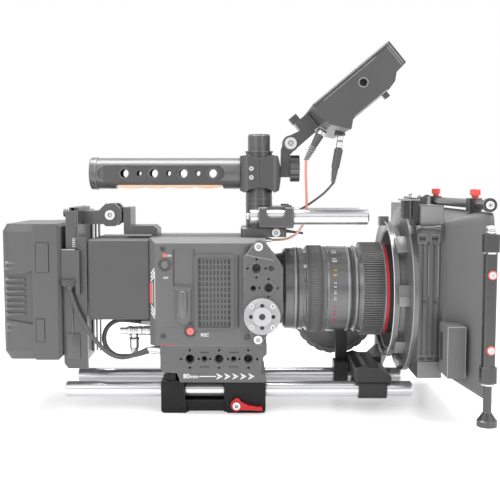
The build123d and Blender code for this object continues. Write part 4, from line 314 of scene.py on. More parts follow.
black_sheath = sheath("black_sheath", tone(78), tone(92), 0.3)
# The red cord is painted paler low down, as painted light that lifts the shade under the top rods.
red_sheath = sheath("red_sheath", tone(250, 142, 120), tone(252, 160, 142), 0.4,
                    (tone(255, 206, 190), 0.185, 0.196))
power_route = (
    (-0.1354, -0.0445, 0.118), (-0.131, -0.0448, 0.1035), (-0.1245, -0.045, 0.09),
    (-0.117, -0.0448, 0.077), (-0.1085, -0.0442, 0.0655), (-0.0985, -0.043, 0.056),
    (-0.0875, -0.0415, 0.0522), (-0.076, -0.0395, 0.0546), (-0.063, -0.038, 0.0605),
)
signal_route = (
    (-0.072, -0.014, 0.083), (-0.083, -0.0142, 0.0847), (-0.098, -0.0154, 0.0852),
    (-0.1082, -0.0174, 0.0752), (-0.1082, -0.02, 0.061), (-0.098, -0.0228, 0.0508),
    (-0.084, -0.025, 0.0506), (-0.073, -0.026, 0.053), (-0.063, -0.0264, 0.0562),
)
red_route = (
    (0.0894, -0.014, 0.2417), (0.089, -0.0144, 0.229), (0.0898, -0.0142, 0.214),
    (0.0904, -0.0138, 0.199), (0.0894, -0.0134, 0.1855), (0.0845, -0.013, 0.1735),
    (0.076, -0.0126, 0.1662), (0.066, -0.0122, 0.1636), (0.056, -0.012, 0.1638),
)
monitor_route = (
    (0.115, -0.02, 0.219), (0.1096, -0.0186, 0.212), (0.1018, -0.0156, 0.2054),
    (0.0936, -0.011, 0.1992), (0.0846, -0.0054, 0.1932), (0.0746, -0.0012, 0.1892),
    (0.063, 0.0, 0.188),
)
lead("power_cable", power_route, 0.0042, black_sheath,
     ("battery_mount", power_route[-2], power_route[0]))
lead("signal_cable", signal_route, 0.0046, black_sheath)
lead("red_cable", red_route, 0.0024, red_sheath,
     ("monitor", red_route[5], red_route[0]))
lead("monitor_cable", monitor_route, 0.0022, black_sheath,
     ("monitor", monitor_route[5], monitor_route[0]))

# Base plate: one block of aluminium, milled with a recess in each side and hard
# anodised a deep black, with its edges broken by a fine chamfer that is made grey as wear and as
# painted highlight.


def scaled(colour, share, lift=0.0):
    """A colour made brighter or darker."""
    return tuple(min(1, level * share + lift) for level in colour)


def anodised(name, colour, roughness=0.42, specular=0.4, edge=None, grain=1.0, lines=None,
             corner_shade_level=0.6):
    """Anodised aluminium: fine tooth from blasting, cloudy dye, edges made paler as rubbed wear
    and as painted highlight, and painted shade in corners.

    lines turns the place into a wire that is 1 in an engraved line, or on a field darkened as
    painted shade. The corner level is how bright
    the corners are beside the colour: under 1 they are darkened as painted shade, over 1 they are
    lightened as painted light that lifts the shade.
    """
    finish, shader, place = new_finish(name)
    dye = place.cloud(38, 4)
    tooth = place.cloud(1600, 2)
    rubbed = place.cloud(150, 5)
    sky = place.open_sky(0.004)
    worn = place.edges(9) * (rubbed > 0.4) * (sky > 0.45)
    cloudy = dye.shade(scaled(colour, 0.9), scaled(colour, 1.1))
    # Painted shade: corners that the AO node finds closed in are darkened; a corner level over 1
    # lightens them instead, as painted light.
    corner_shaded = (sky * 1.25).lesser(1).shade(scaled(colour, corner_shade_level), cloudy)
    # Edges are made paler, as rubbed wear and as a painted highlight along them.
    dyed = (worn * 0.75).shade(corner_shaded, edge or scaled(colour, 2.0, 0.06))
    relief = tooth * 0.4
    if lines:
        # Engraved lines stay dark; fields given as lines, such as the handle's flats, are darkened
        # as painted shade.
        engraved_or_shaded = lines(place)
        dyed = (engraved_or_shaded * 0.7).shade(dyed, scaled(colour, 0.5))
        relief = relief - engraved_or_shaded * 2
    fill(shader, {
        "Base Color": dyed,
        "Roughness": dye * 0.12 + roughness,
        "Specular IOR Level": specular,
        "Normal": relief.bump(0.12 * grain, 0.0003),
    })
    return finish


base_black = anodised("base_black", tone(26), 0.4, 0.22, tone(96), 0.7)
dress(base_black, "base_plate")

# Clamp lever: a cast wing dyed bright red, on a plain steel screw.
red_metal = anodised("red_anodised", tone(206, 22, 32), 0.3, 0.5, tone(248, 120, 120), 0.6)
dress(red_metal, "clamp_lever")


def steel(name, colour, roughness, along=(1, 1, 1), metallic=0.8, ground=0.1, uneven=0.14):
    """Bare metal with turning or drawing lines along one direction, darkened as painted shade
    where it is recessed.
    """
    finish, shader, place = new_finish(name)
    lines = place.cloud(420, 4, along)
    smear = place.cloud(22, 3)
    worked = smear.shade(scaled(colour, 0.84), colour)
    # Painted shade: recessed places are darkened, down to a tenth of the colour.
    open_to_light = (place.open_sky(0.0022) * 1.5 - 0.4).eased()
    fill(shader, {
        "Base Color": open_to_light.shade(scaled(colour, 0.1), worked),
        "Metallic": metallic,
        "Roughness": lines * uneven + smear * 0.06 + roughness,
        "Normal": lines.bump(ground, 0.0001),
    })
    return finish


dress(steel("screw_steel", tone(226, 226, 228), 0.3), "lever_bolt", "socket_screws",
      "pivot_bolts")

# Support rods and top rods: ground and polished bars of stainless steel.
rod_steel = steel("rod_steel", tone(230, 230, 232), 0.16, (0.004, 0.5, 0.5), ground=0.01,
                  uneven=0.02)
dress(rod_steel, "support_rods", "top_rods")

# Riser plate: a waisted block, milled and anodised a satin grey black, with a small
# stop block beside the rail and printed marks that show which way it slides.
white_ink, shader, place = new_finish("white_ink")
fill(shader, {
    "Base Color": place.cloud(700, 3).shade(tone(226), tone(246)),
    "Roughness": place.cloud(90) * 0.1 + 0.5,
})
riser_y = -0.05005
riser_large = [(-0.0219 + 0.02765 * step, 0.0533) for step in range(3)]


def diamonds(centres, reach):
    """Engraved diamond lines round a face's large holes."""
    def lines(place):
        x, y, z = place.axes()
        side = abs(y) > 0.0495
        return either(
            (abs(x - centre_x) + abs(z - centre_z)).between(reach, reach + 0.0006) * side
            for centre_x, centre_z in centres)
    return lines


def settle(name, finish, body):
    """Names the active piece, lays its place in its mesh, dresses it and fixes it to a body."""
    piece = bpy.context.object
    piece.name = name
    bpy.ops.object.transform_apply()
    bpy.ops.object.shade_smooth_by_angle(angle=radians(32))
    piece.data.materials.clear()
    piece.data.materials.append(finish)
    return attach(piece, body)


def block(name, centre, size, finish, body, edge=0.0004, turn=(0, 0, 0)):
    """A small machined or moulded block with broken edges."""
    bpy.ops.mesh.primitive_cube_add(size=1)
    piece = bpy.context.object
    piece.scale = size
    bpy.ops.object.transform_apply(location=False, rotation=False)
    bevel = piece.modifiers.new("broken_edges", "BEVEL")
    bevel.width = edge
    bevel.segments = 2
    bpy.ops.object.modifier_apply(modifier="broken_edges")
    piece.location = centre
    piece.rotation_euler = turn
    return settle(name, finish, body)


def turned(name, foot, along, steps, finish, body, sides=40, ring=False):
    """A piece turned on a lathe, from steps of (distance from its foot, radius).

    A ring has an open middle, and its steps go round its section.
    """
    (distance, radius), *later = steps
    bpy.ops.mesh.primitive_circle_add(vertices=sides, radius=radius, location=(0, 0, distance),
                                      fill_type="NOTHING" if ring else "NGON")
    piece = bpy.context.object
    bpy.ops.object.transform_apply()
    bpy.ops.object.mode_set(mode="EDIT")
    if ring:
        later.append(steps[0])
        bpy.ops.mesh.select_mode(type="EDGE")
        bpy.ops.mesh.select_all(action="SELECT")
    for further, wider in later:
        bpy.ops.mesh.extrude_region_move(
            TRANSFORM_OT_translate={"value": (0, 0, further - distance)})
        if wider != radius:
            ratio = wider / radius
            bpy.ops.transform.resize(value=(ratio, ratio, 1))
        distance, radius = further, wider
    bpy.ops.mesh.select_all(action="SELECT")
    if ring:
        bpy.ops.mesh.remove_doubles(threshold=0.000005)
    bpy.ops.mesh.normals_make_consistent(inside=False)
    bpy.ops.object.mode_set(mode="OBJECT")
    piece.location = foot
    piece.rotation_mode = "QUATERNION"
    piece.rotation_quaternion = Vector(along).to_track_quat("Z", "Y")
    return settle(name, finish, body)


def printed(name, words, height, centre, finish, body="camera", turn=None):
    """Screen-printed lettering, a hair thick, that faces the near side unless it is turned."""
    bpy.ops.object.text_add()
    lettering = bpy.context.object
    lettering.data.body = words
    lettering.data.size = height
    lettering.data.align_x = "CENTER"
    lettering.data.align_y = "CENTER"
    lettering.data.extrude = 0.00004
    ink_spread = 0.012
    lettering.data.offset = height * ink_spread
    bpy.ops.object.convert(target="MESH")
    bpy.context.object.location = centre
    bpy.context.object.rotation_euler = (turn or Matrix.Rotation(pi / 2, 3, "X")).to_euler()
    return settle(name, finish, body)


def film(name, outlines, centre, finish, body="camera", turn=0.0):
    """Flat printed shapes on an upright face, from outlines of (along, up)."""
    sheet = bpy.data.curves.new(name, "CURVE")
    sheet.dimensions = "2D"
    sheet.fill_mode = "BOTH"
    sheet.extrude = 0.00003
    for outline in outlines:
        edge = sheet.splines.new("POLY")
        edge.points.add(len(outline) - 1)
        for point, (along, up) in zip(edge.points, outline):
            point.co = (along, up, 0, 1)
        edge.use_cyclic_u = True
    shape = bpy.data.objects.new(name, sheet)
    bpy.context.scene.collection.objects.link(shape)
    pick(shape)
    bpy.ops.object.convert(target="MESH")
    bpy.context.object.location = centre
    bpy.context.object.rotation_euler = (pi / 2, 0, turn)
    return settle(name, finish, body)


def strip(left, low, right, high):
    """The outline of a rectangle, for a film."""
    return [(left, low), (right, low), (right, high), (left, high)]


# Painted light: the riser's corners and hole mouths are lightened, to lift their shade.
dress(anodised("riser_grey", tone(98), lines=diamonds(riser_large, 0.0108), corner_shade_level=1.5),
      "riser_plate")
arrows = []
for step in range(5):
    at = 0.0059 + 0.00756 * step
    arrows.append([(at - 0.003, 0.0032), (at + 0.0032, 0), (at - 0.003, -0.0032),
                   (at - 0.0009, 0)])
    arrows.append([(at - 0.001, -0.001), (at - 0.0002, 0), (at - 0.001, 0.001),
                   (at + 0.001, 0)])
marks_z = 0.0367
film("riser_arrows", arrows, (0, riser_y, marks_z), white_ink)
film("riser_line", [strip(-0.0132, 0.0004, 0.003, -0.0004)], (0, riser_y, marks_z), white_ink)
printed("riser_number", "80", 0.0062, (-0.0252, riser_y, marks_z), white_ink)
printed("riser_unit", "mm", 0.0052, (-0.018, riser_y, marks_z - 0.0002), white_ink)
# Painted light: the inserts' corners are lightened, to lift the shade in the holes.
thread_grey = anodised("thread_grey", tone(72), 0.4, 0.5, tone(104), corner_shade_level=1.6)


def insert(name, centre, radius):
    """A wound thread insert just inside the mouth of a hole that opens to the near side."""
    crests = []
    for turn_number in range(4):
        depth = 0.0006 + 0.0009 * turn_number
        crests += [(depth, radius - 0.0004), (depth + 0.00045, radius - 0.001)]
    turned(name, centre, (0, 1, 0),
           ((0.0004, radius - 0.00005), *crests, (0.0042, radius - 0.0004),
            (0.0042, radius - 0.00005)), thread_grey, "camera", 30, ring=True)


for step, (hole_x, hole_z) in enumerate(riser_large):
    insert(f"riser_insert_{step + 1}", (hole_x, -0.05, hole_z + 0.0002), 0.0048)
for step, hole_x in enumerate((-0.00808, 0.01958)):
    insert(f"riser_insert_{step + 4}", (hole_x, -0.05, 0.0535), 0.0032)
engraved_dark = anodised("engraved_dark", tone(62), 0.6, 0.2)
for step, (mark_x, mark_z) in enumerate(
        (x, z) for x in (-0.0081, 0.0196) for z in (0.0596, 0.0459)):
    dashes = [
        strip(mark_x + at, mark_z + 0.0007, mark_x + at + wide, mark_z - 0.0007)
        for at, wide in ((-0.0044, 0.0016), (-0.0024, 0.0008), (-0.0012, 0.002), (0.0013, 0.0009),
                         (0.0027, 0.0018))
    ]
    film(f"riser_scale_{step}", dashes, (0, riser_y, 0), engraved_dark)
block("rail_stop", (-0.0412, -0.0449, 0.0364), (0.0112, 0.009, 0.0056), base_black, "camera",
      0.0005, (0, radians(-14), 0))
block("rail_stop_foot", (-0.0418, -0.0449, 0.0336), (0.0136, 0.009, 0.0014), base_black, "camera")

# Cage parts: milled aluminium in the same satin grey black. The side plate has a
# crease across its top corner, drawn as a painted shade line under a painted highlight line, and
# engraved diamonds round its two large holes.


def cage_lines(place):
    """A painted shade line under the crease across the cage plate's top, and the engraved diamonds
    round its large holes.
    """
    x, y, z = place.axes()
    slope = z + (x - 0.0304) * 0.19
    # Painted shade: a thin dark line just under the crease.
    crease = slope.between(0.1522, 0.1528) * (y < -0.0575)
    return crease.greater(diamonds([(0.041, 0.1402), (0.0522, 0.122)], 0.0104)(place))


# Painted light: the plate's corners and hole mouths are lightened, to lift their shade.
dress(anodised("cage_plate_grey", tone(98), edge=tone(176), lines=cage_lines, corner_shade_level=1.4),
      "cage_side_plate")
# Painted highlight: a pale grey for thin lines and rings that stand in for light caught on
# creases, edges, seams and ribs.
painted_highlight_grey = anodised("painted_highlight_grey", tone(168), 0.35, 0.5, tone(190))
# Painted highlight: a pale line just above the crease.
film("cage_crease", [[(0.03, 0.1532), (0.0572, 0.148), (0.0572, 0.1475), (0.03, 0.1527)]],
     (0, -0.05805, 0), painted_highlight_grey)
for step, (hole_x, hole_z, radius) in enumerate((
        (0.041, 0.1408, 0.0048), (0.0525, 0.1219, 0.0048), (0.0546, 0.1401, 0.0032),
        (0.0381, 0.1219, 0.0032))):
    insert(f"plate_insert_{step + 1}", (hole_x, -0.058, hole_z), radius)
cage_grey = anodised("cage_grey", tone(78), 0.24, 0.8, tone(170))
dress(cage_grey, "arm_base", "swing_arm", "post_column", "top_rod_clamp", "monitor_arm_lower",
      "monitor_arm_upper")
dark_grey = anodised("dark_cage_grey", tone(74), 0.26, 0.75, tone(160))
dress(dark_grey, "battery_plate", "post_clamp", "rod_lever", "base_lever", "arm_knob")

# Camera body: a magnesium shell with a fine powder coat, a raised field round the
# vents, a stepped panel behind it and four case screws. The record button is red, and the power
# lamp glows red.


def moulded(name, colour, roughness=0.5, lump=700, depth=0.3, specular=0.4, form=None):
    """Powder coat or moulded plastic: an even fine texture, faint handling marks, edges made paler
    as wear and as painted highlight, and painted shade in corners.

    form turns the place into the height of raised or sunken fields, and how much painted shade
    darkens them.
    """
    finish, shader, place = new_finish(name)
    pebble = place.node("TexVoronoi", {"Vector": place, "Scale": lump})
    rubbed = place.cloud(26, 5)
    sky = place.open_sky(0.005)
    worn = place.edges(6) * (sky > 0.5)
    coat = rubbed.shade(scaled(colour, 0.92), scaled(colour, 1.08))
    # Painted shade: corners that the AO node finds closed in are darkened.
    coat_shaded_in_corners = (sky * 1.25).lesser(1).shade(scaled(colour, 0.7), coat)
    normal = pebble.bump(depth, 0.0002)
    if form:
        height, recess_shade = form(place)
        # Painted shade in the sunken fields.
        coat_shaded_in_corners = recess_shade.shade(coat_shaded_in_corners, scaled(colour, 0.86))
        normal = height.bump(1.0, 0.0016, Normal=normal)
    # Edges made paler, as wear and as painted highlight.
    fill(shader, {
        "Base Color": (worn * 0.45).shade(coat_shaded_in_corners, scaled(colour, 1.8)),
        "Roughness": rubbed * 0.15 + roughness,
        "Specular IOR Level": specular,
        "Normal": normal,
    })
    return finish


def camera_panels(place):
    """Heights on the near side: the raised vent field, the stepped panel and the lower step, and
    the painted shade that darkens the stepped panel and the step.
    """
    x, y, z = place.axes()
    near = y < -0.0495
    ease = 0.0016

    def field(left, right, foot, top):
        """1 well inside a rectangle, easing to 0 at its edges."""
        inside = (x - left).lesser(right - x).lesser((z - foot).lesser(top - z))
        return (inside / ease).eased()

    raised = field(-0.0182, 0.0245, 0.0825, 0.153)
    sunk = field(-0.0368, -0.016, 0.1215, 0.158)
    shelf = field(-0.0535, -0.0182, 0.069, 0.0842)
    height = (raised * 0.7 - sunk * 0.8 + shelf * 0.35) * near
    # Painted shade: the stepped panel and the lower step are darkened.
    return height, (sunk * 0.8 + shelf * 0.2) * near


def again(piece, name, body, move):
    """A copy of a piece with its own mesh, moved."""
    twin = bpy.data.objects.new(name, piece.data.copy())
    bpy.context.scene.collection.objects.link(twin)
    twin.data.transform(Matrix.Translation(move))
    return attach(twin, body)


dress(moulded("camera_coat", tone(101), 0.42, 900, 0.12, 0.5, camera_panels), "camera_body")
dress(moulded("vent_coat", tone(97), 0.5, 900, 0.12), "side_cover")
dust_mesh = moulded("dust_mesh", tone(80), 0.6, 1900, 0.5)
block("vent_dust_mesh", (0.00115, -0.0484, 0.1165), (0.032, 0.0004, 0.066), dust_mesh,
      "camera", 0.0001)
dress(moulded("fan_plastic", tone(104), 0.5, 900, 0.1), "cooling_fan")
dress(moulded("button_red", tone(248, 112, 104), 0.3, 900, 0.05, 0.6), "rec_button")
button_dark = moulded("button_dark", tone(112), 0.4, 900, 0.05)
dress(button_dark, "power_button")
shell_y = -0.05
film_y = shell_y - 0.00003
near_side = (0, -1, 0)
screw_black = anodised("case_screw_black", tone(66), 0.35, 0.5, tone(120))
screw_steps = ((-0.001, 0.0029), (0.0002, 0.0029), (0.0004, 0.0027), (0.0004, 0.0022),
               (-0.0002, 0.0021), (-0.0002, 0.0016), (0.0003, 0.0015), (0.0003, 0.0009),
               (-0.0005, 0.0008))
case_screw = turned("case_screw_1", (-0.0465, shell_y, 0.1581), near_side, screw_steps,
                    screw_black, "camera", 30)
for step, move in enumerate(((-0.0003, 0, -0.0828), (0.079, 0, 0), (0.0785, 0, -0.0838))):
    again(case_screw, f"case_screw_{step + 2}", "camera", move)
turned("tally_pin", (-0.0206, shell_y, 0.0875), near_side,
       ((-0.001, 0.0019), (0.0003, 0.0019), (0.0005, 0.0016), (0.0005, 0.0009), (-0.0004, 0.0008)),
       screw_black, "camera", 24)
for name, at_x, at_z in (("rec", -0.0212, 0.08), ("power", -0.0448, 0.1429)):
    turned(name + "_collar", (at_x, shell_y, at_z), near_side,
           ((-0.001, 0.0061), (0.0005, 0.0061), (0.0009, 0.0056), (0.0009, 0.0049),
            (-0.0008, 0.0047)), screw_black, "camera", 36)
turned("switch_pip", (-0.0448, shell_y - 0.0014, 0.1429), near_side,
       ((-0.0006, 0.0021), (0.0003, 0.002), (0.0006, 0.0015)), button_dark, "camera", 24)
lamp_red, shader, place = new_finish("lamp_red")
fill(shader, {
    "Base Color": place.cloud(900).shade(tone(250, 96, 92), tone(252, 120, 110)),
    "Roughness": 0.2,
    "Emission Color": place.cloud(700).shade(tone(250, 70, 70), tone(250, 90, 84)),
    "Emission Strength": 0.15,
})
turned("power_lamp", (-0.045, shell_y, 0.1517), near_side,
       ((-0.0004, 0.0018), (0.0005, 0.0017), (0.0009, 0.0012), (0.0011, 0.0005)), lamp_red,
       "camera", 24)
for word, height, at_x, at_z in (("ON", 0.0028, -0.0408, 0.1514), ("OFF", 0.0028, -0.044, 0.1305),
                                 ("REC", 0.0044, -0.0076, 0.0763)):
    printed(word.lower() + "_word", word, height, (at_x, shell_y - 0.00005, at_z), white_ink)
pod_coat = moulded("pod_coat", tone(88), 0.26, 900, 0.08, 0.9)
turned("antenna_pod", (-0.0283, -0.0488, 0.0888), (0, 0, 1),
       ((0, 0.0008), (0.0014, 0.0024), (0.0042, 0.0042), (0.0082, 0.0055), (0.0126, 0.0062),
        (0.027, 0.0062), (0.029, 0.0058), (0.0298, 0.0048)), pod_coat, "camera", 56)
block("pod_shelf", (-0.0283, -0.0496, 0.1212), (0.0178, 0.0044, 0.0016), pod_coat, "camera",
      0.0006)
# Painted shade: dark lines along the left edge of the stepped panel and the right edge of the vent
# field.
step_shade_line = anodised("step_shade_line", tone(70), 0.5, 0.3, tone(90))
film("recess_edge", [strip(-0.037, 0.1215, -0.0364, 0.157)], (0, film_y, 0), step_shade_line)
film("vent_edge", [strip(0.0244, 0.084, 0.025, 0.152)], (0, film_y, 0), step_shade_line)
film("seam_line", [strip(-0.05, 0.0003, -0.0352, -0.0002)], (0, shell_y - 0.0001, 0.0664),
     red_metal)

# Edge label: white stripes, two white lines and a red bar, printed on the chamfer
# of the camera's rear near edge.
label_red = moulded("label_red", tone(222, 112, 116), 0.5, 900, 0.05)
chamfer_place = (-0.06004, -0.04404, 0)
top_stripes = [
    [(0.0022, up), (0.0074, up + 0.0052), (0.0074, up + 0.0071), (0.0022, up + 0.0019)]
    for up in (0.1262, 0.1296, 0.133)
]
low_stripes = [[(along, 0.2314 - up) for along, up in reversed(stripe)] for stripe in top_stripes]
chamfer_turn = radians(-45)
frame_strip = strip(0.0075, 0.095, 0.0083, 0.137)
thin_strip = strip(0.0043, 0.1062, 0.0048, 0.1258)
film("label_stripes", top_stripes + low_stripes + [frame_strip, thin_strip], chamfer_place,
     white_ink, turn=chamfer_turn)
film("label_bar", [strip(0.0002, 0.1063, 0.0038, 0.1258)], chamfer_place, label_red,
     turn=chamfer_turn)

# Rosette: a disc of clear anodised aluminium with fine radial teeth and dark holes.
dress(anodised("rosette_silver", tone(186, 186, 188), 0.36, 0.8, tone(150), 4.0, corner_shade_level=1.0),
      "rosette")

# Camera packs: two battery packs in fine grained plastic, side by side.
dress(moulded("pack_plastic", tone(84), 0.46, 1200, 0.1), "camera_packs")
dress(dark_grey, "comb_plate")

# Battery: a moulded shell with a front cover. Long pointed ribs stand on both sides
# of it and run out towards the rear end.
dress(moulded("battery_plastic", tone(78), 0.34, 800, 0.14, 0.7), "battery_case",
      "battery_cover")
# Painted highlight: the ribs are a paler grey than the shell they are moulded with.
rib_plastic_lightened = moulded("rib_plastic_lightened", tone(104), 0.3, 800, 0.08, 0.7)
bpy.ops.mesh.primitive_cone_add(vertices=4, radius1=0.0021, radius2=0.0001, depth=0.0175)
pointed_rib = bpy.context.object
bpy.ops.object.mode_set(mode="EDIT")
bpy.ops.mesh.select_all(action="SELECT")
bpy.ops.mesh.bevel(offset=0.0002, segments=2)
bpy.ops.object.mode_set(mode="OBJECT")
pointed_rib.rotation_euler = (0, pi / 2, 0)
pointed_rib.location = (-0.1866, -0.0468, 0.1285)
settle("pointed_rib_1", rib_plastic_lightened, "battery")
rib_drops = [0.0055 * step for step in range(7)]
end_drops = [-0.011, -0.0155, 0.043, 0.0475]
far_rib_y = 0.0936
for step, drop in enumerate(rib_drops[1:]):
    again(pointed_rib, f"pointed_rib_{step + 2}", "battery", (0, 0, -drop))
for step, drop in enumerate(end_drops):
    again(pointed_rib, f"end_rib_{step + 1}", "battery", (0.0004, -0.0004, -drop))
for step, drop in enumerate(rib_drops + end_drops):
    again(pointed_rib, f"far_rib_{step + 1}", "battery", (0, far_rib_y, -drop))

# Battery plate: a bent plate with a release lever on top, level marks on its near
# side and the moulded power terminal with its ribbed boot.
plate_y = -0.04005
marks_left = -0.1345
marks = [
    strip(marks_left, 0.159 + up, marks_left + wide, 0.1597 + up)
    for up, wide in ((0, 0.0042), (0.0018, 0.0028), (0.0036, 0.0028), (0.0054, 0.0028),
                     (0.0072, 0.0042))
]
film("plate_level_marks", marks, (0.0012, plate_y, 0), white_ink, "battery_mount")
plate_ridge = block("plate_ridge", (-0.13, -0.0405, 0.172), (0.0012, 0.0014, 0.03), dark_grey,
                    "battery_mount")
again(plate_ridge, "plate_ridge_low", "battery_mount", (-0.004, 0, -0.084))
block("plate_step", (-0.1338, -0.0408, 0.064), (0.013, 0.0018, 0.024), dark_grey,
      "battery_mount", 0.0006)
# Painted highlight: a pale lip along the top of the power terminal.
block("plug_top_lip", (-0.1366, -0.043, 0.1566), (0.0124, 0.005, 0.0008), painted_highlight_grey,
      "battery_mount", 0.0002)
turned("release_bar", (-0.1345, -0.03, 0.1945), (0, 1, 0),
       ((0, 0.0016), (0.0006, 0.0022), (0.0594, 0.0022), (0.06, 0.0016)), cage_grey,
       "battery_mount", 20)
plug_black = moulded("plug_black", tone(80), 0.3, 900, 0.1, 0.6)
dress(plug_black, "power_plug")
for step in range(4):
    block(f"boot_rib_{step + 1}", (-0.1365, -0.0487, 0.1273 - 0.0016 * step),
          (0.011 - 0.0012 * step, 0.0012, 0.0008), plug_black, "battery_mount", 0.0002)


def band(foot_half, foot_radius, crown_half, crown_radius):
    """The steps of a narrow raised band about its middle."""
    return ((-foot_half, foot_radius), (-crown_half, crown_radius), (crown_half, crown_radius),
            (foot_half, foot_radius))


for step in range(3):
    turned(f"boot_ring_{step + 1}", (-0.1353, -0.0445, 0.1215 - 0.0022 * step), (0.05, 0, -1),
           band(0.0005, 0.0026, 0.0004, 0.0032 - 0.0002 * step), plug_black, "battery_mount", 24)

# Camera plugs: bright plated connectors with raised rings and an elbow below.
plated = steel("plated_steel", tone(232, 232, 234), 0.24, metallic=0.85)
dress(plated, "camera_plugs")
plug_y, plug_z = -0.03, 0.077
for step in range(9):
    turned(f"connector_ring_{step + 1}", (-0.0628 - 0.0024 * step, plug_y, plug_z), (-1, 0, 0),
           band(0.0006, 0.004, 0.0005, 0.0047), plated, "camera", 30)
for step, (drop, wide, finish) in enumerate((
        (0.007, 0.0046, screw_black), (0.0084, 0.005, plated), (0.015, 0.0046, plated),
        (0.0164, 0.0044, screw_black))):
    turned(f"elbow_ring_{step + 1}", (-0.077, plug_y, plug_z - drop), (0, 0, -1),
           band(0.0006, 0.0036, 0.0005, wide), finish, "camera", 30)

# Handle: a bored tube in gloss black with a milled flat along each side, darkened as painted
# shade, a bumper at the rear end and a wooden grip let into its underside.


def handle_flats(place):
    """1 on the two milled flats along the sides of the tube, which are darkened as painted shade.
    """
    x, y, z = place.axes()
    return abs(y).between(0.0128, 0.0134) * x.between(-0.108, 0.014)


# Painted shade: the milled flats are darkened.
tube_black = anodised("tube_black", tone(88), 0.24, 0.75, tone(176), lines=handle_flats)
dress(tube_black, "handle_tube", "handle_cap")
turned("cap_groove_ring", (-0.1155, 0, 0.2288), (-1, 0, 0),
       band(0.0006, 0.015, 0.0005, 0.0161), tube_black, "camera", 64)
wood, shader, place = new_finish("oiled_wood")
grain = place.cloud(90, 5, (0.12, 1, 1))
pores = place.cloud(900, 3, (0.06, 1, 1))
fill(shader, {
    "Base Color": (grain * 0.7 + pores * 0.3).shade(tone(222, 176, 142), tone(244, 214, 188)),
    "Roughness": grain * 0.2 + 0.35,
    "Normal": pores.bump(0.2, 0.0002),
})
dress(wood, "handle_grip")

# Post: a turned column in a split clamp, with raised rings below and above the
# clamp and a groove in its top.
column_x = 0.0439
for step, (height, wide) in enumerate(((0.204, 0.01305), (0.199, 0.01305), (0.25, 0.0137))):
    turned(f"post_ring_{step + 1}", (column_x, 0, height), (0, 0, 1),
           band(0.0007, wide - 0.0006, 0.0005, wide + 0.0003), cage_grey, "camera", 64)
turned("post_top_groove", (column_x, 0, 0.2668), (0, 0, 1),
       ((-0.001, 0.0106), (0, 0.0106), (0.0003, 0.01), (0.0003, 0.004), (-0.0008, 0.0034)),
       cage_grey, "camera", 56)

# Top rod clamp: the sleeves, with a raised ring on the near one's mouths, and a
# silver screw in the rear end of the near rod.
near_rod_y, near_rod_z = -0.03, 0.187
turned("rod_end_screw", (0.0345, near_rod_y, near_rod_z), (-1, 0, 0),
       ((0, 0.0034), (0.0004, 0.0038), (0.0026, 0.0038), (0.003, 0.0034), (0.003, 0.0018),
        (0.0012, 0.0016)), plated, "top_rods", 32)
for name, at_x in (("rear", 0.0435), ("front", 0.0762)):
    turned(f"sleeve_ring_{name}", (at_x, near_rod_y, near_rod_z), (1, 0, 0),
           band(0.0006, 0.008, 0.0005, 0.0098), cage_grey, "camera", 48)

# Monitor: a moulded housing with painted highlight lines along its seams and round the threaded
# bush in its near end, and a glass face. Two plugs with ribbed reliefs leave its underside; the
# red one's ribs are pale, as painted highlight.
dress(moulded("monitor_plastic", tone(74), 0.3, 1200, 0.08, 0.7), "monitor_housing")
dress(plug_black, "monitor_plugs")
glass, shader, place = new_finish("coated_glass")
smudge = place.cloud(20, 2)
fill(shader, {
    "Base Color": smudge.shade(tone(30, 32, 42), tone(38, 36, 50)),
    "Roughness": smudge * 0.03 + 0.04,
    "Coat Weight": smudge * 0.1 + 0.9,
})
dress(glass, "front_glass", "monitor_screen")
monitor_turn = radians(39.7)
monitor_corner = (0.0906, 0.289)
monitor_end_y = -0.07503


def on_monitor(along, out):
    """A place on the monitor's end, from along its glass and out of it."""
    return (monitor_corner[0] + along * cos(monitor_turn) - out * sin(monitor_turn),
            monitor_corner[1] + along * sin(monitor_turn) + out * cos(monitor_turn))


def end_line(start, end, thick):
    """A thin line on the monitor's end between two places on it."""
    run = Vector(end) - Vector(start)
    side = Vector((-run.y, run.x)).normalized() * thick / 2
    corners = ((start, -side), (end, -side), (end, side), (start, side))
    return [on_monitor(*(Vector(corner) + shift)) for corner, shift in corners]


# Painted highlight lines along the housing's seams and edges.
film("monitor_seams", [
    end_line((0.0015, -0.0007), (0.0868, -0.0007), 0.0007),
    end_line((0.01, -0.0037), (0.07, -0.0037), 0.0004),
    end_line((0.0856, -0.0016), (0.0856, -0.0232), 0.0005),
    end_line((0.0834, -0.003), (0.0834, -0.0236), 0.0004),
    end_line((0.022, -0.0326), (0.06, -0.0326), 0.0007),
], (0, monitor_end_y, 0), painted_highlight_grey, "monitor")
bush_x, bush_z = on_monitor(0.0475, -0.014)
bush_rings = [
    [(bush_x + reach * cos(step * pi / 18), bush_z + reach * sin(step * pi / 18))
     for step in range(36)]
    for reach in (0.0044, 0.0039)
]
# Painted highlight: a pale ring round the threaded bush.
film("monitor_bush_ring", bush_rings, (0, monitor_end_y, 0), painted_highlight_grey, "monitor")


def ribbed(name, start, end, radii, count, finish):
    """Moulded rings along a cord's relief, smaller towards its end."""
    start, end = Vector(start), Vector(end)
    for step in range(count):
        share = (step + 0.5) / count
        wide = radii[0] * (1 - share) + radii[1] * share
        turned(f"{name}_{step + 1}", start.lerp(end, share), end - start,
               band(0.0005, wide - 0.0008, 0.0003, wide), finish, "monitor", 24)


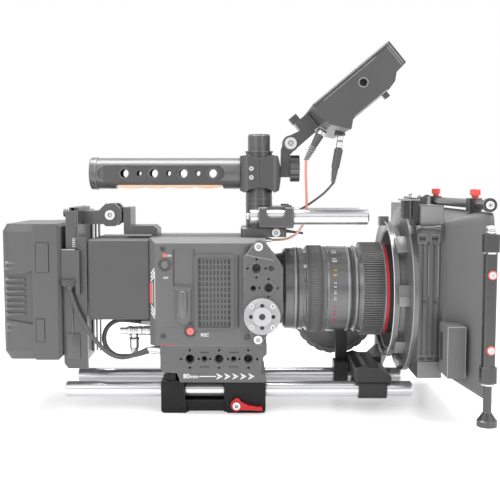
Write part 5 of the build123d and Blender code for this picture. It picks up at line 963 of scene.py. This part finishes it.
# Painted highlight: pale rings on the red cord's relief.
ribbed("red_relief_ring", (0.0966, -0.014, 0.2549), (0.0896, -0.014, 0.242),
       (0.0042, 0.0027), 7, painted_highlight_grey)
ribbed("jack_relief_ring", (0.1168, -0.02, 0.231), (0.1151, -0.02, 0.22),
       (0.0037, 0.0026), 6, cage_grey)
turned("jack_sleeve", (0.1222, -0.02, 0.265), (-0.0016, 0, -0.013),
       ((0, 0.0024), (0.0004, 0.0031), (0.0048, 0.0031), (0.0052, 0.0027), (0.006, 0.0027),
        (0.0064, 0.0032), (0.0118, 0.0032), (0.0122, 0.0026)), plated, "monitor", 32)
turned("relief_collar", (0.1052, -0.014, 0.269), (-0.016, 0, -0.0293),
       ((0, 0.0044), (0.0004, 0.005), (0.0036, 0.005), (0.004, 0.0044)), plated, "monitor", 32)

# Lens adapter and lens: a turned barrel in satin black with a red line round the
# front, a ribbed rubber zoom ring and a toothed focus ring, numbered in white, gold
# and red.
lens_z = 0.1145
forward = (1, 0, 0)


def lens_lines(place):
    """1 in the dark grooves between the barrel's rings."""
    along = place.axes()[0]
    return either(along.between(at, at + 0.0005) for at in (
        0.0758, 0.0786, 0.0815, 0.1112, 0.1285, 0.1352, 0.1392))


lens_paint = anodised("lens_paint", tone(88), 0.18, 1.0, tone(210), lines=lens_lines)
dress(lens_paint, "lens_adapter", "lens_barrel")
dress(anodised("focus_ring_paint", tone(98), 0.32, 0.6, tone(140), corner_shade_level=1.0), "focus_ring")
zoom_rubber = moulded("zoom_rubber", tone(98), 0.4, 1100, 0.1, 0.5)
grip_sides = 248
grip = turned("zoom_grip", (0.0901, 0, lens_z), forward,
              ((0, 0.04), (0.0003, 0.0421), (0.0012, 0.0425), (0.015, 0.0425), (0.0158, 0.0421),
               (0.0185, 0.0419), (0.0188, 0.04)), zoom_rubber, "zoom_ring", grip_sides)
pick(grip)
bpy.ops.object.mode_set(mode="EDIT")
bpy.ops.mesh.select_mode(type="FACE")
bpy.ops.mesh.select_all(action="DESELECT")
bpy.ops.object.mode_set(mode="OBJECT")
for face in grip.data.polygons:
    wide_band = abs(face.center.x - 0.0982) < 0.0005
    turn = atan2(face.center.z - lens_z, face.center.y) / (2 * pi)
    face.select = wide_band and int(round(turn * grip_sides - 0.5)) % 2 == 0
bpy.ops.object.mode_set(mode="EDIT")
bpy.ops.mesh.extrude_faces_move(TRANSFORM_OT_shrink_fatten={"value": 0.0006})
bpy.ops.object.mode_set(mode="OBJECT")
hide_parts("zoom_ring")
red_line = moulded("red_line", tone(238, 56, 74), 0.3, 900, 0.03)
front_bright = anodised("front_bright", tone(168), 0.24, 0.8, tone(220))
front_dark = anodised("front_dark", tone(58), 0.3, 0.6, tone(110))
for name, foot_x, steps, finish in (
    ("front_red_ring", 0.1654,
     ((0, 0.043), (0.0002, 0.0441), (0.0022, 0.0442), (0.0024, 0.043)), red_line),
    ("front_bright_ring", 0.1631,
     ((0, 0.043), (0.0004, 0.044), (0.0018, 0.0443), (0.0022, 0.0436)), front_bright),
    ("front_sleeve", 0.1681,
     ((0, 0.044), (0.0003, 0.0447), (0.0046, 0.0446), (0.0052, 0.044)), front_dark),
):
    turned(name, (foot_x, 0, lens_z), forward, steps, finish, "camera", 96)


def hoop(name, along, radius, wire, finish, body="camera", flat=1.0):
    """A round bead about the optical axis, widened along it by flat."""
    section = [(-flat * wire * cos(step * pi / 6), radius + wire * sin(step * pi / 6))
               for step in range(12)]
    turned(name, (along, 0, lens_z), forward, section, finish, body, 120, ring=True)


# Painted highlight: the beads are a pale grey on the black barrel, so that they read as bright
# streaks.
bead_highlight_gloss = steel("bead_highlight_gloss", tone(150), 0.14, metallic=0.35, ground=0.01)
hoop("barrel_bead_wide", 0.1298, 0.0409, 0.0017, bead_highlight_gloss)
hoop("barrel_bead_front", 0.137, 0.0421, 0.0011, bead_highlight_gloss)
hoop("barrel_bead_rear", 0.0786, 0.0401, 0.0012, bead_highlight_gloss, flat=1.3)
# Painted shade: a dark finish for beads and blocks that stand for the shade in grooves and slots.
groove_shade_dark = anodised("groove_shade_dark", tone(56), 0.4, 0.4, tone(90))
hoop("barrel_groove_wide", 0.1333, 0.0403, 0.0011, groove_shade_dark, flat=1.2)
hoop("barrel_groove_rear", 0.0812, 0.0405, 0.0008, groove_shade_dark)


def round_lens(name, words, height, along, radius, angle, finish):
    """Lettering laid round the barrel, read from the camera end, at an angle above the side."""
    tilt = radians(angle)
    laid = Matrix.Rotation(pi / 2 - tilt, 3, "X") @ Matrix.Rotation(-pi / 2, 3, "Z")
    centre = (along, -radius * cos(tilt), lens_z + radius * sin(tilt))
    printed(name, words, height, centre, finish, turn=laid)


for number, angle in (("105", 96), ("70", 68), ("50", 38), ("35", -62), ("24", -96)):
    round_lens(f"zoom_number_{number}", number, 0.004, 0.0878, 0.0411, angle, white_ink)
gold_ink = moulded("gold_ink", tone(232, 176, 60), 0.5, 900, 0.03)
for kind, ink, marks in (
    ("large", white_ink, (("15", 0.0064, 63), ("10", 0.0064, 47))),
    ("gold", gold_ink, (("7", 0.0044, 31), ("5", 0.0044, 24))),
    ("small", white_ink, (("3", 0.0032, 14), ("2", 0.0032, 9), ("1.5", 0.0032, 2),
                          ("1.2", 0.0032, -6))),
    ("red", red_line, (("1", 0.0044, -17), ("0.7", 0.0034, -27), ("0.5", 0.0034, -39))),
):
    for step, (number, height, angle) in enumerate(marks):
        round_lens(f"distance_{kind}_{step + 1}", number, height, 0.116, 0.0427, angle, ink)

# Follow focus: a gear on the far side, driven by a wheel with a grooved rim.
bracket_black = anodised("bracket_black", tone(46), 0.4, 0.4, tone(120))
dress(bracket_black, "matte_bracket", "focus_bracket", "drive_gear")
# Painted light: the handwheel is given a paler grey, to lift the shade it stands in behind the
# lens.
dress(anodised("handwheel_lifted_grey", tone(140), 0.3, 0.8, tone(190), corner_shade_level=0.9), "handwheel")
turned("focus_gearbox_cap", (0.1275, 0.037, 0.0755), near_side,
       ((-0.001, 0.005), (0.0004, 0.005), (0.0008, 0.0044), (0.0008, 0.0026), (0.0002, 0.0024)),
       bracket_black, "base", 40)

# Matte box: a turned rear flange, a framed stage with two filter slots and a
# moulded hood, all in black with a soft gloss.
dress(moulded("matte_black", tone(98), 0.18, 1200, 0.05, 1.0), "matte_ring")
stage_black = moulded("stage_black", tone(80), 0.24, 1200, 0.05, 0.9)
dress(stage_black, "filter_stage", "filter_tray_rear", "filter_tray_front")
dress(moulded("hood_black", tone(108), 0.44, 1200, 0.1, 0.5), "hood")
# Painted highlight: thin pale hoops on the rims of the rear flange and along the flange.
rim_highlight_white = anodised("rim_highlight_white", tone(226), 0.3, 0.6, tone(240), 0.5)
hoop("rim_line_outer", 0.1681, 0.0669, 0.0006, rim_highlight_white, "matte_box")
hoop("rim_line_inner", 0.1709, 0.0592, 0.0005, rim_highlight_white, "matte_box")
hoop("flange_line", 0.1833, 0.0806, 0.0005, painted_highlight_grey, "matte_box")
cam_grey = anodised("cam_grey", tone(128), 0.3, 0.7, tone(200), corner_shade_level=0.9)
ring_radius = 0.0709
for step, (angle, plate_wide) in enumerate(((138, 0.0176), (183, 0.0086), (225, 0.0176))):
    tilt = radians(angle)
    centre = (0.177, ring_radius * cos(tilt), lens_z + ring_radius * sin(tilt))
    block(f"cam_plate_{step + 1}", centre, (0.01, 0.0008, plate_wide), cam_grey, "matte_box",
          0.0003, (tilt, 0, 0))
stage_y = -0.0751
stage_film = (0, stage_y - 0.00003, 0)
# Painted highlight lines on the stage's near face.
for step, at in enumerate((0.1967, 0.2055)):
    film(f"stage_light_line_{step + 1}", [strip(at, 0.116, at + 0.0005, 0.163)], stage_film,
         painted_highlight_grey, "matte_box")
frame_line = anodised("frame_line", tone(96), 0.3, 0.6, tone(210), corner_shade_level=0.9)
for step, at in enumerate((0.1903, 0.2015)):
    outer = strip(at - 0.0043, 0.1647, at + 0.0043, 0.1733)
    inner = strip(at - 0.0033, 0.1657, at + 0.0033, 0.1723)
    film(f"latch_frame_{step + 1}", [outer, inner], (0, -0.07856, 0), frame_line, "matte_box")
    block(f"latch_tongue_{step + 1}", (at, -0.0787, 0.169), (0.0058, 0.0012, 0.0026),
          bracket_black, "matte_box", 0.0003)
latch_gloss = anodised("latch_gloss", tone(62), 0.12, 1.0, tone(220))
turned("stage_latch_bar", (0.1842, -0.0802, 0.179), forward,
       ((0, 0.0016), (0.0006, 0.0023), (0.004, 0.0023), (0.0056, 0.0014), (0.0166, 0.0014),
        (0.0182, 0.0023), (0.0216, 0.0023), (0.0222, 0.0016)), latch_gloss, "matte_box", 28)
panel_grey = moulded("panel_grey", tone(142), 0.4, 1200, 0.04, 0.5)
film("stage_top_panel", [strip(0.1893, 0.1822, 0.2096, 0.1982)], stage_film, panel_grey,
     "matte_box")
lock_y = -0.065
for name, at_x, at_z, size, finish in (
    ("lock_arm_front", 0.1852, 0.192, (0.0056, 0.018, 0.023), bracket_black),
    ("lock_arm_rear", 0.1768, 0.1952, (0.0056, 0.015, 0.0166), bracket_black),
    ("lock_bridge", 0.1801, 0.204, (0.017, 0.018, 0.0016), cam_grey),
):
    block(name, (at_x, lock_y, at_z), size, finish, "matte_box", 0.0006)
turned("lock_knob", (0.185, lock_y, 0.2046), (0, 0, 1),
       ((0, 0.003), (0.0008, 0.0054), (0.0034, 0.0058), (0.005, 0.0044), (0.0056, 0.0016)),
       plated, "matte_box", 36)
stage_pin = turned("stage_pin_1", (0.1938, stage_y, 0.1113), near_side,
                   ((-0.0008, 0.0013), (0.0004, 0.0013), (0.0006, 0.001), (0.0006, 0.0005),
                    (-0.0004, 0.0004)), bracket_black, "matte_box", 24)
again(stage_pin, "stage_pin_2", "matte_box", (0.0096, 0, 0))
block("stage_foot", (0.199, -0.0755, 0.049), (0.022, 0.0024, 0.015),
      moulded("foot_grey", tone(126), 0.4, 1200, 0.05, 0.6), "matte_box", 0.0008)
# Painted shade: three dark blocks stand for the slots in the foot.
for step in range(3):
    block(f"stage_foot_slot_{step + 1}", (0.192 + 0.0068 * step, -0.0753, 0.0588),
          (0.0052, 0.0016, 0.0014), groove_shade_dark, "matte_box", 0.0003)
flag_box_y = -0.11103
# Painted highlight lines along the flag box's edges.
film("flag_box_lines", [
    strip(0.2068, 0.0939, 0.2228, 0.0945), strip(0.2068, 0.05, 0.2073, 0.0938),
    strip(0.2224, 0.05, 0.2228, 0.0938),
], (0, flag_box_y, 0), painted_highlight_grey, "matte_box")
# Painted shade: a dark block stands for the flag box's slot.
block("flag_box_slot", (0.2064, -0.09, 0.074), (0.0008, 0.009, 0.025), groove_shade_dark,
      "matte_box", 0.0002)
film("flag_box_panel", [strip(0.2076, 0.0505, 0.2221, 0.0934)], (0, flag_box_y, 0), stage_black,
     "matte_box")
dress(anodised("bar_black", tone(52), 0.2, 0.8, tone(170)), "flag_bar", "hood_posts")
knob_red = anodised("knob_red", tone(240, 72, 62), 0.35, 0.5, tone(252, 170, 160), 0.6)
dress(knob_red, "thumb_screw_near", "thumb_screw_far")

# Flag bar ends: a ringed silver cap on each end of the bar.
both_sides = ((-1, "near"), (1, "far"))
for side, name in both_sides:
    turned(f"bar_end_{name}", (0.237, side * 0.1248, 0.2005), (0, side, 0),
           ((-0.002, 0.0058), (-0.0006, 0.0058), (-0.0003, 0.0051), (-0.0014, 0.0047),
            (-0.0014, 0.0038), (0.0006, 0.0035), (0.001, 0.0029), (0.001, 0.002),
            (0.0003, 0.0017), (0.0003, 0.0008), (0.0001, 0.0007)),
           plated, "matte_box", 40)

# Hood posts: gloss black posts with silver knobs on top, white lines at the
# clamps, and two silver screws in red rings on each.
post_x = 0.236
for side, name in both_sides:
    post_y = side * 0.1326
    wall_y = side * 0.1373
    turned(f"post_knob_{name}", (post_x, post_y, 0.1772), (0, 0, 1),
           ((0, 0.0044), (0.001, 0.0046), (0.002, 0.0034), (0.003, 0.0034), (0.0036, 0.0044),
            (0.0056, 0.0044), (0.0062, 0.0036)), plated, "matte_box", 36)
    for step, height in enumerate((0.1608, 0.0494)):
        turned(f"post_line_{name}_{step + 1}", (post_x, post_y, height), (0, 0, 1),
               band(0.0008, 0.0044, 0.0006, 0.0056), white_ink, "matte_box", 36)
    for step, height in enumerate((0.1425, 0.079)):
        turned(f"red_washer_{name}_{step + 1}", (post_x + 0.0008, wall_y, height), (0, side, 0),
               ((-0.001, 0.0039), (0.0004, 0.0039), (0.0007, 0.0036), (0.0007, 0.0028),
                (0.0002, 0.0027)), knob_red, "matte_box", 36)
        turned(f"post_screw_{name}_{step + 1}", (post_x + 0.0008, wall_y, height), (0, side, 0),
               ((-0.001, 0.0028), (0.001, 0.0028), (0.0013, 0.0024), (0.0013, 0.0019),
                (0.0007, 0.0017), (0.0007, 0.0006), (0.0003, 0.0005)), plated, "matte_box", 30)
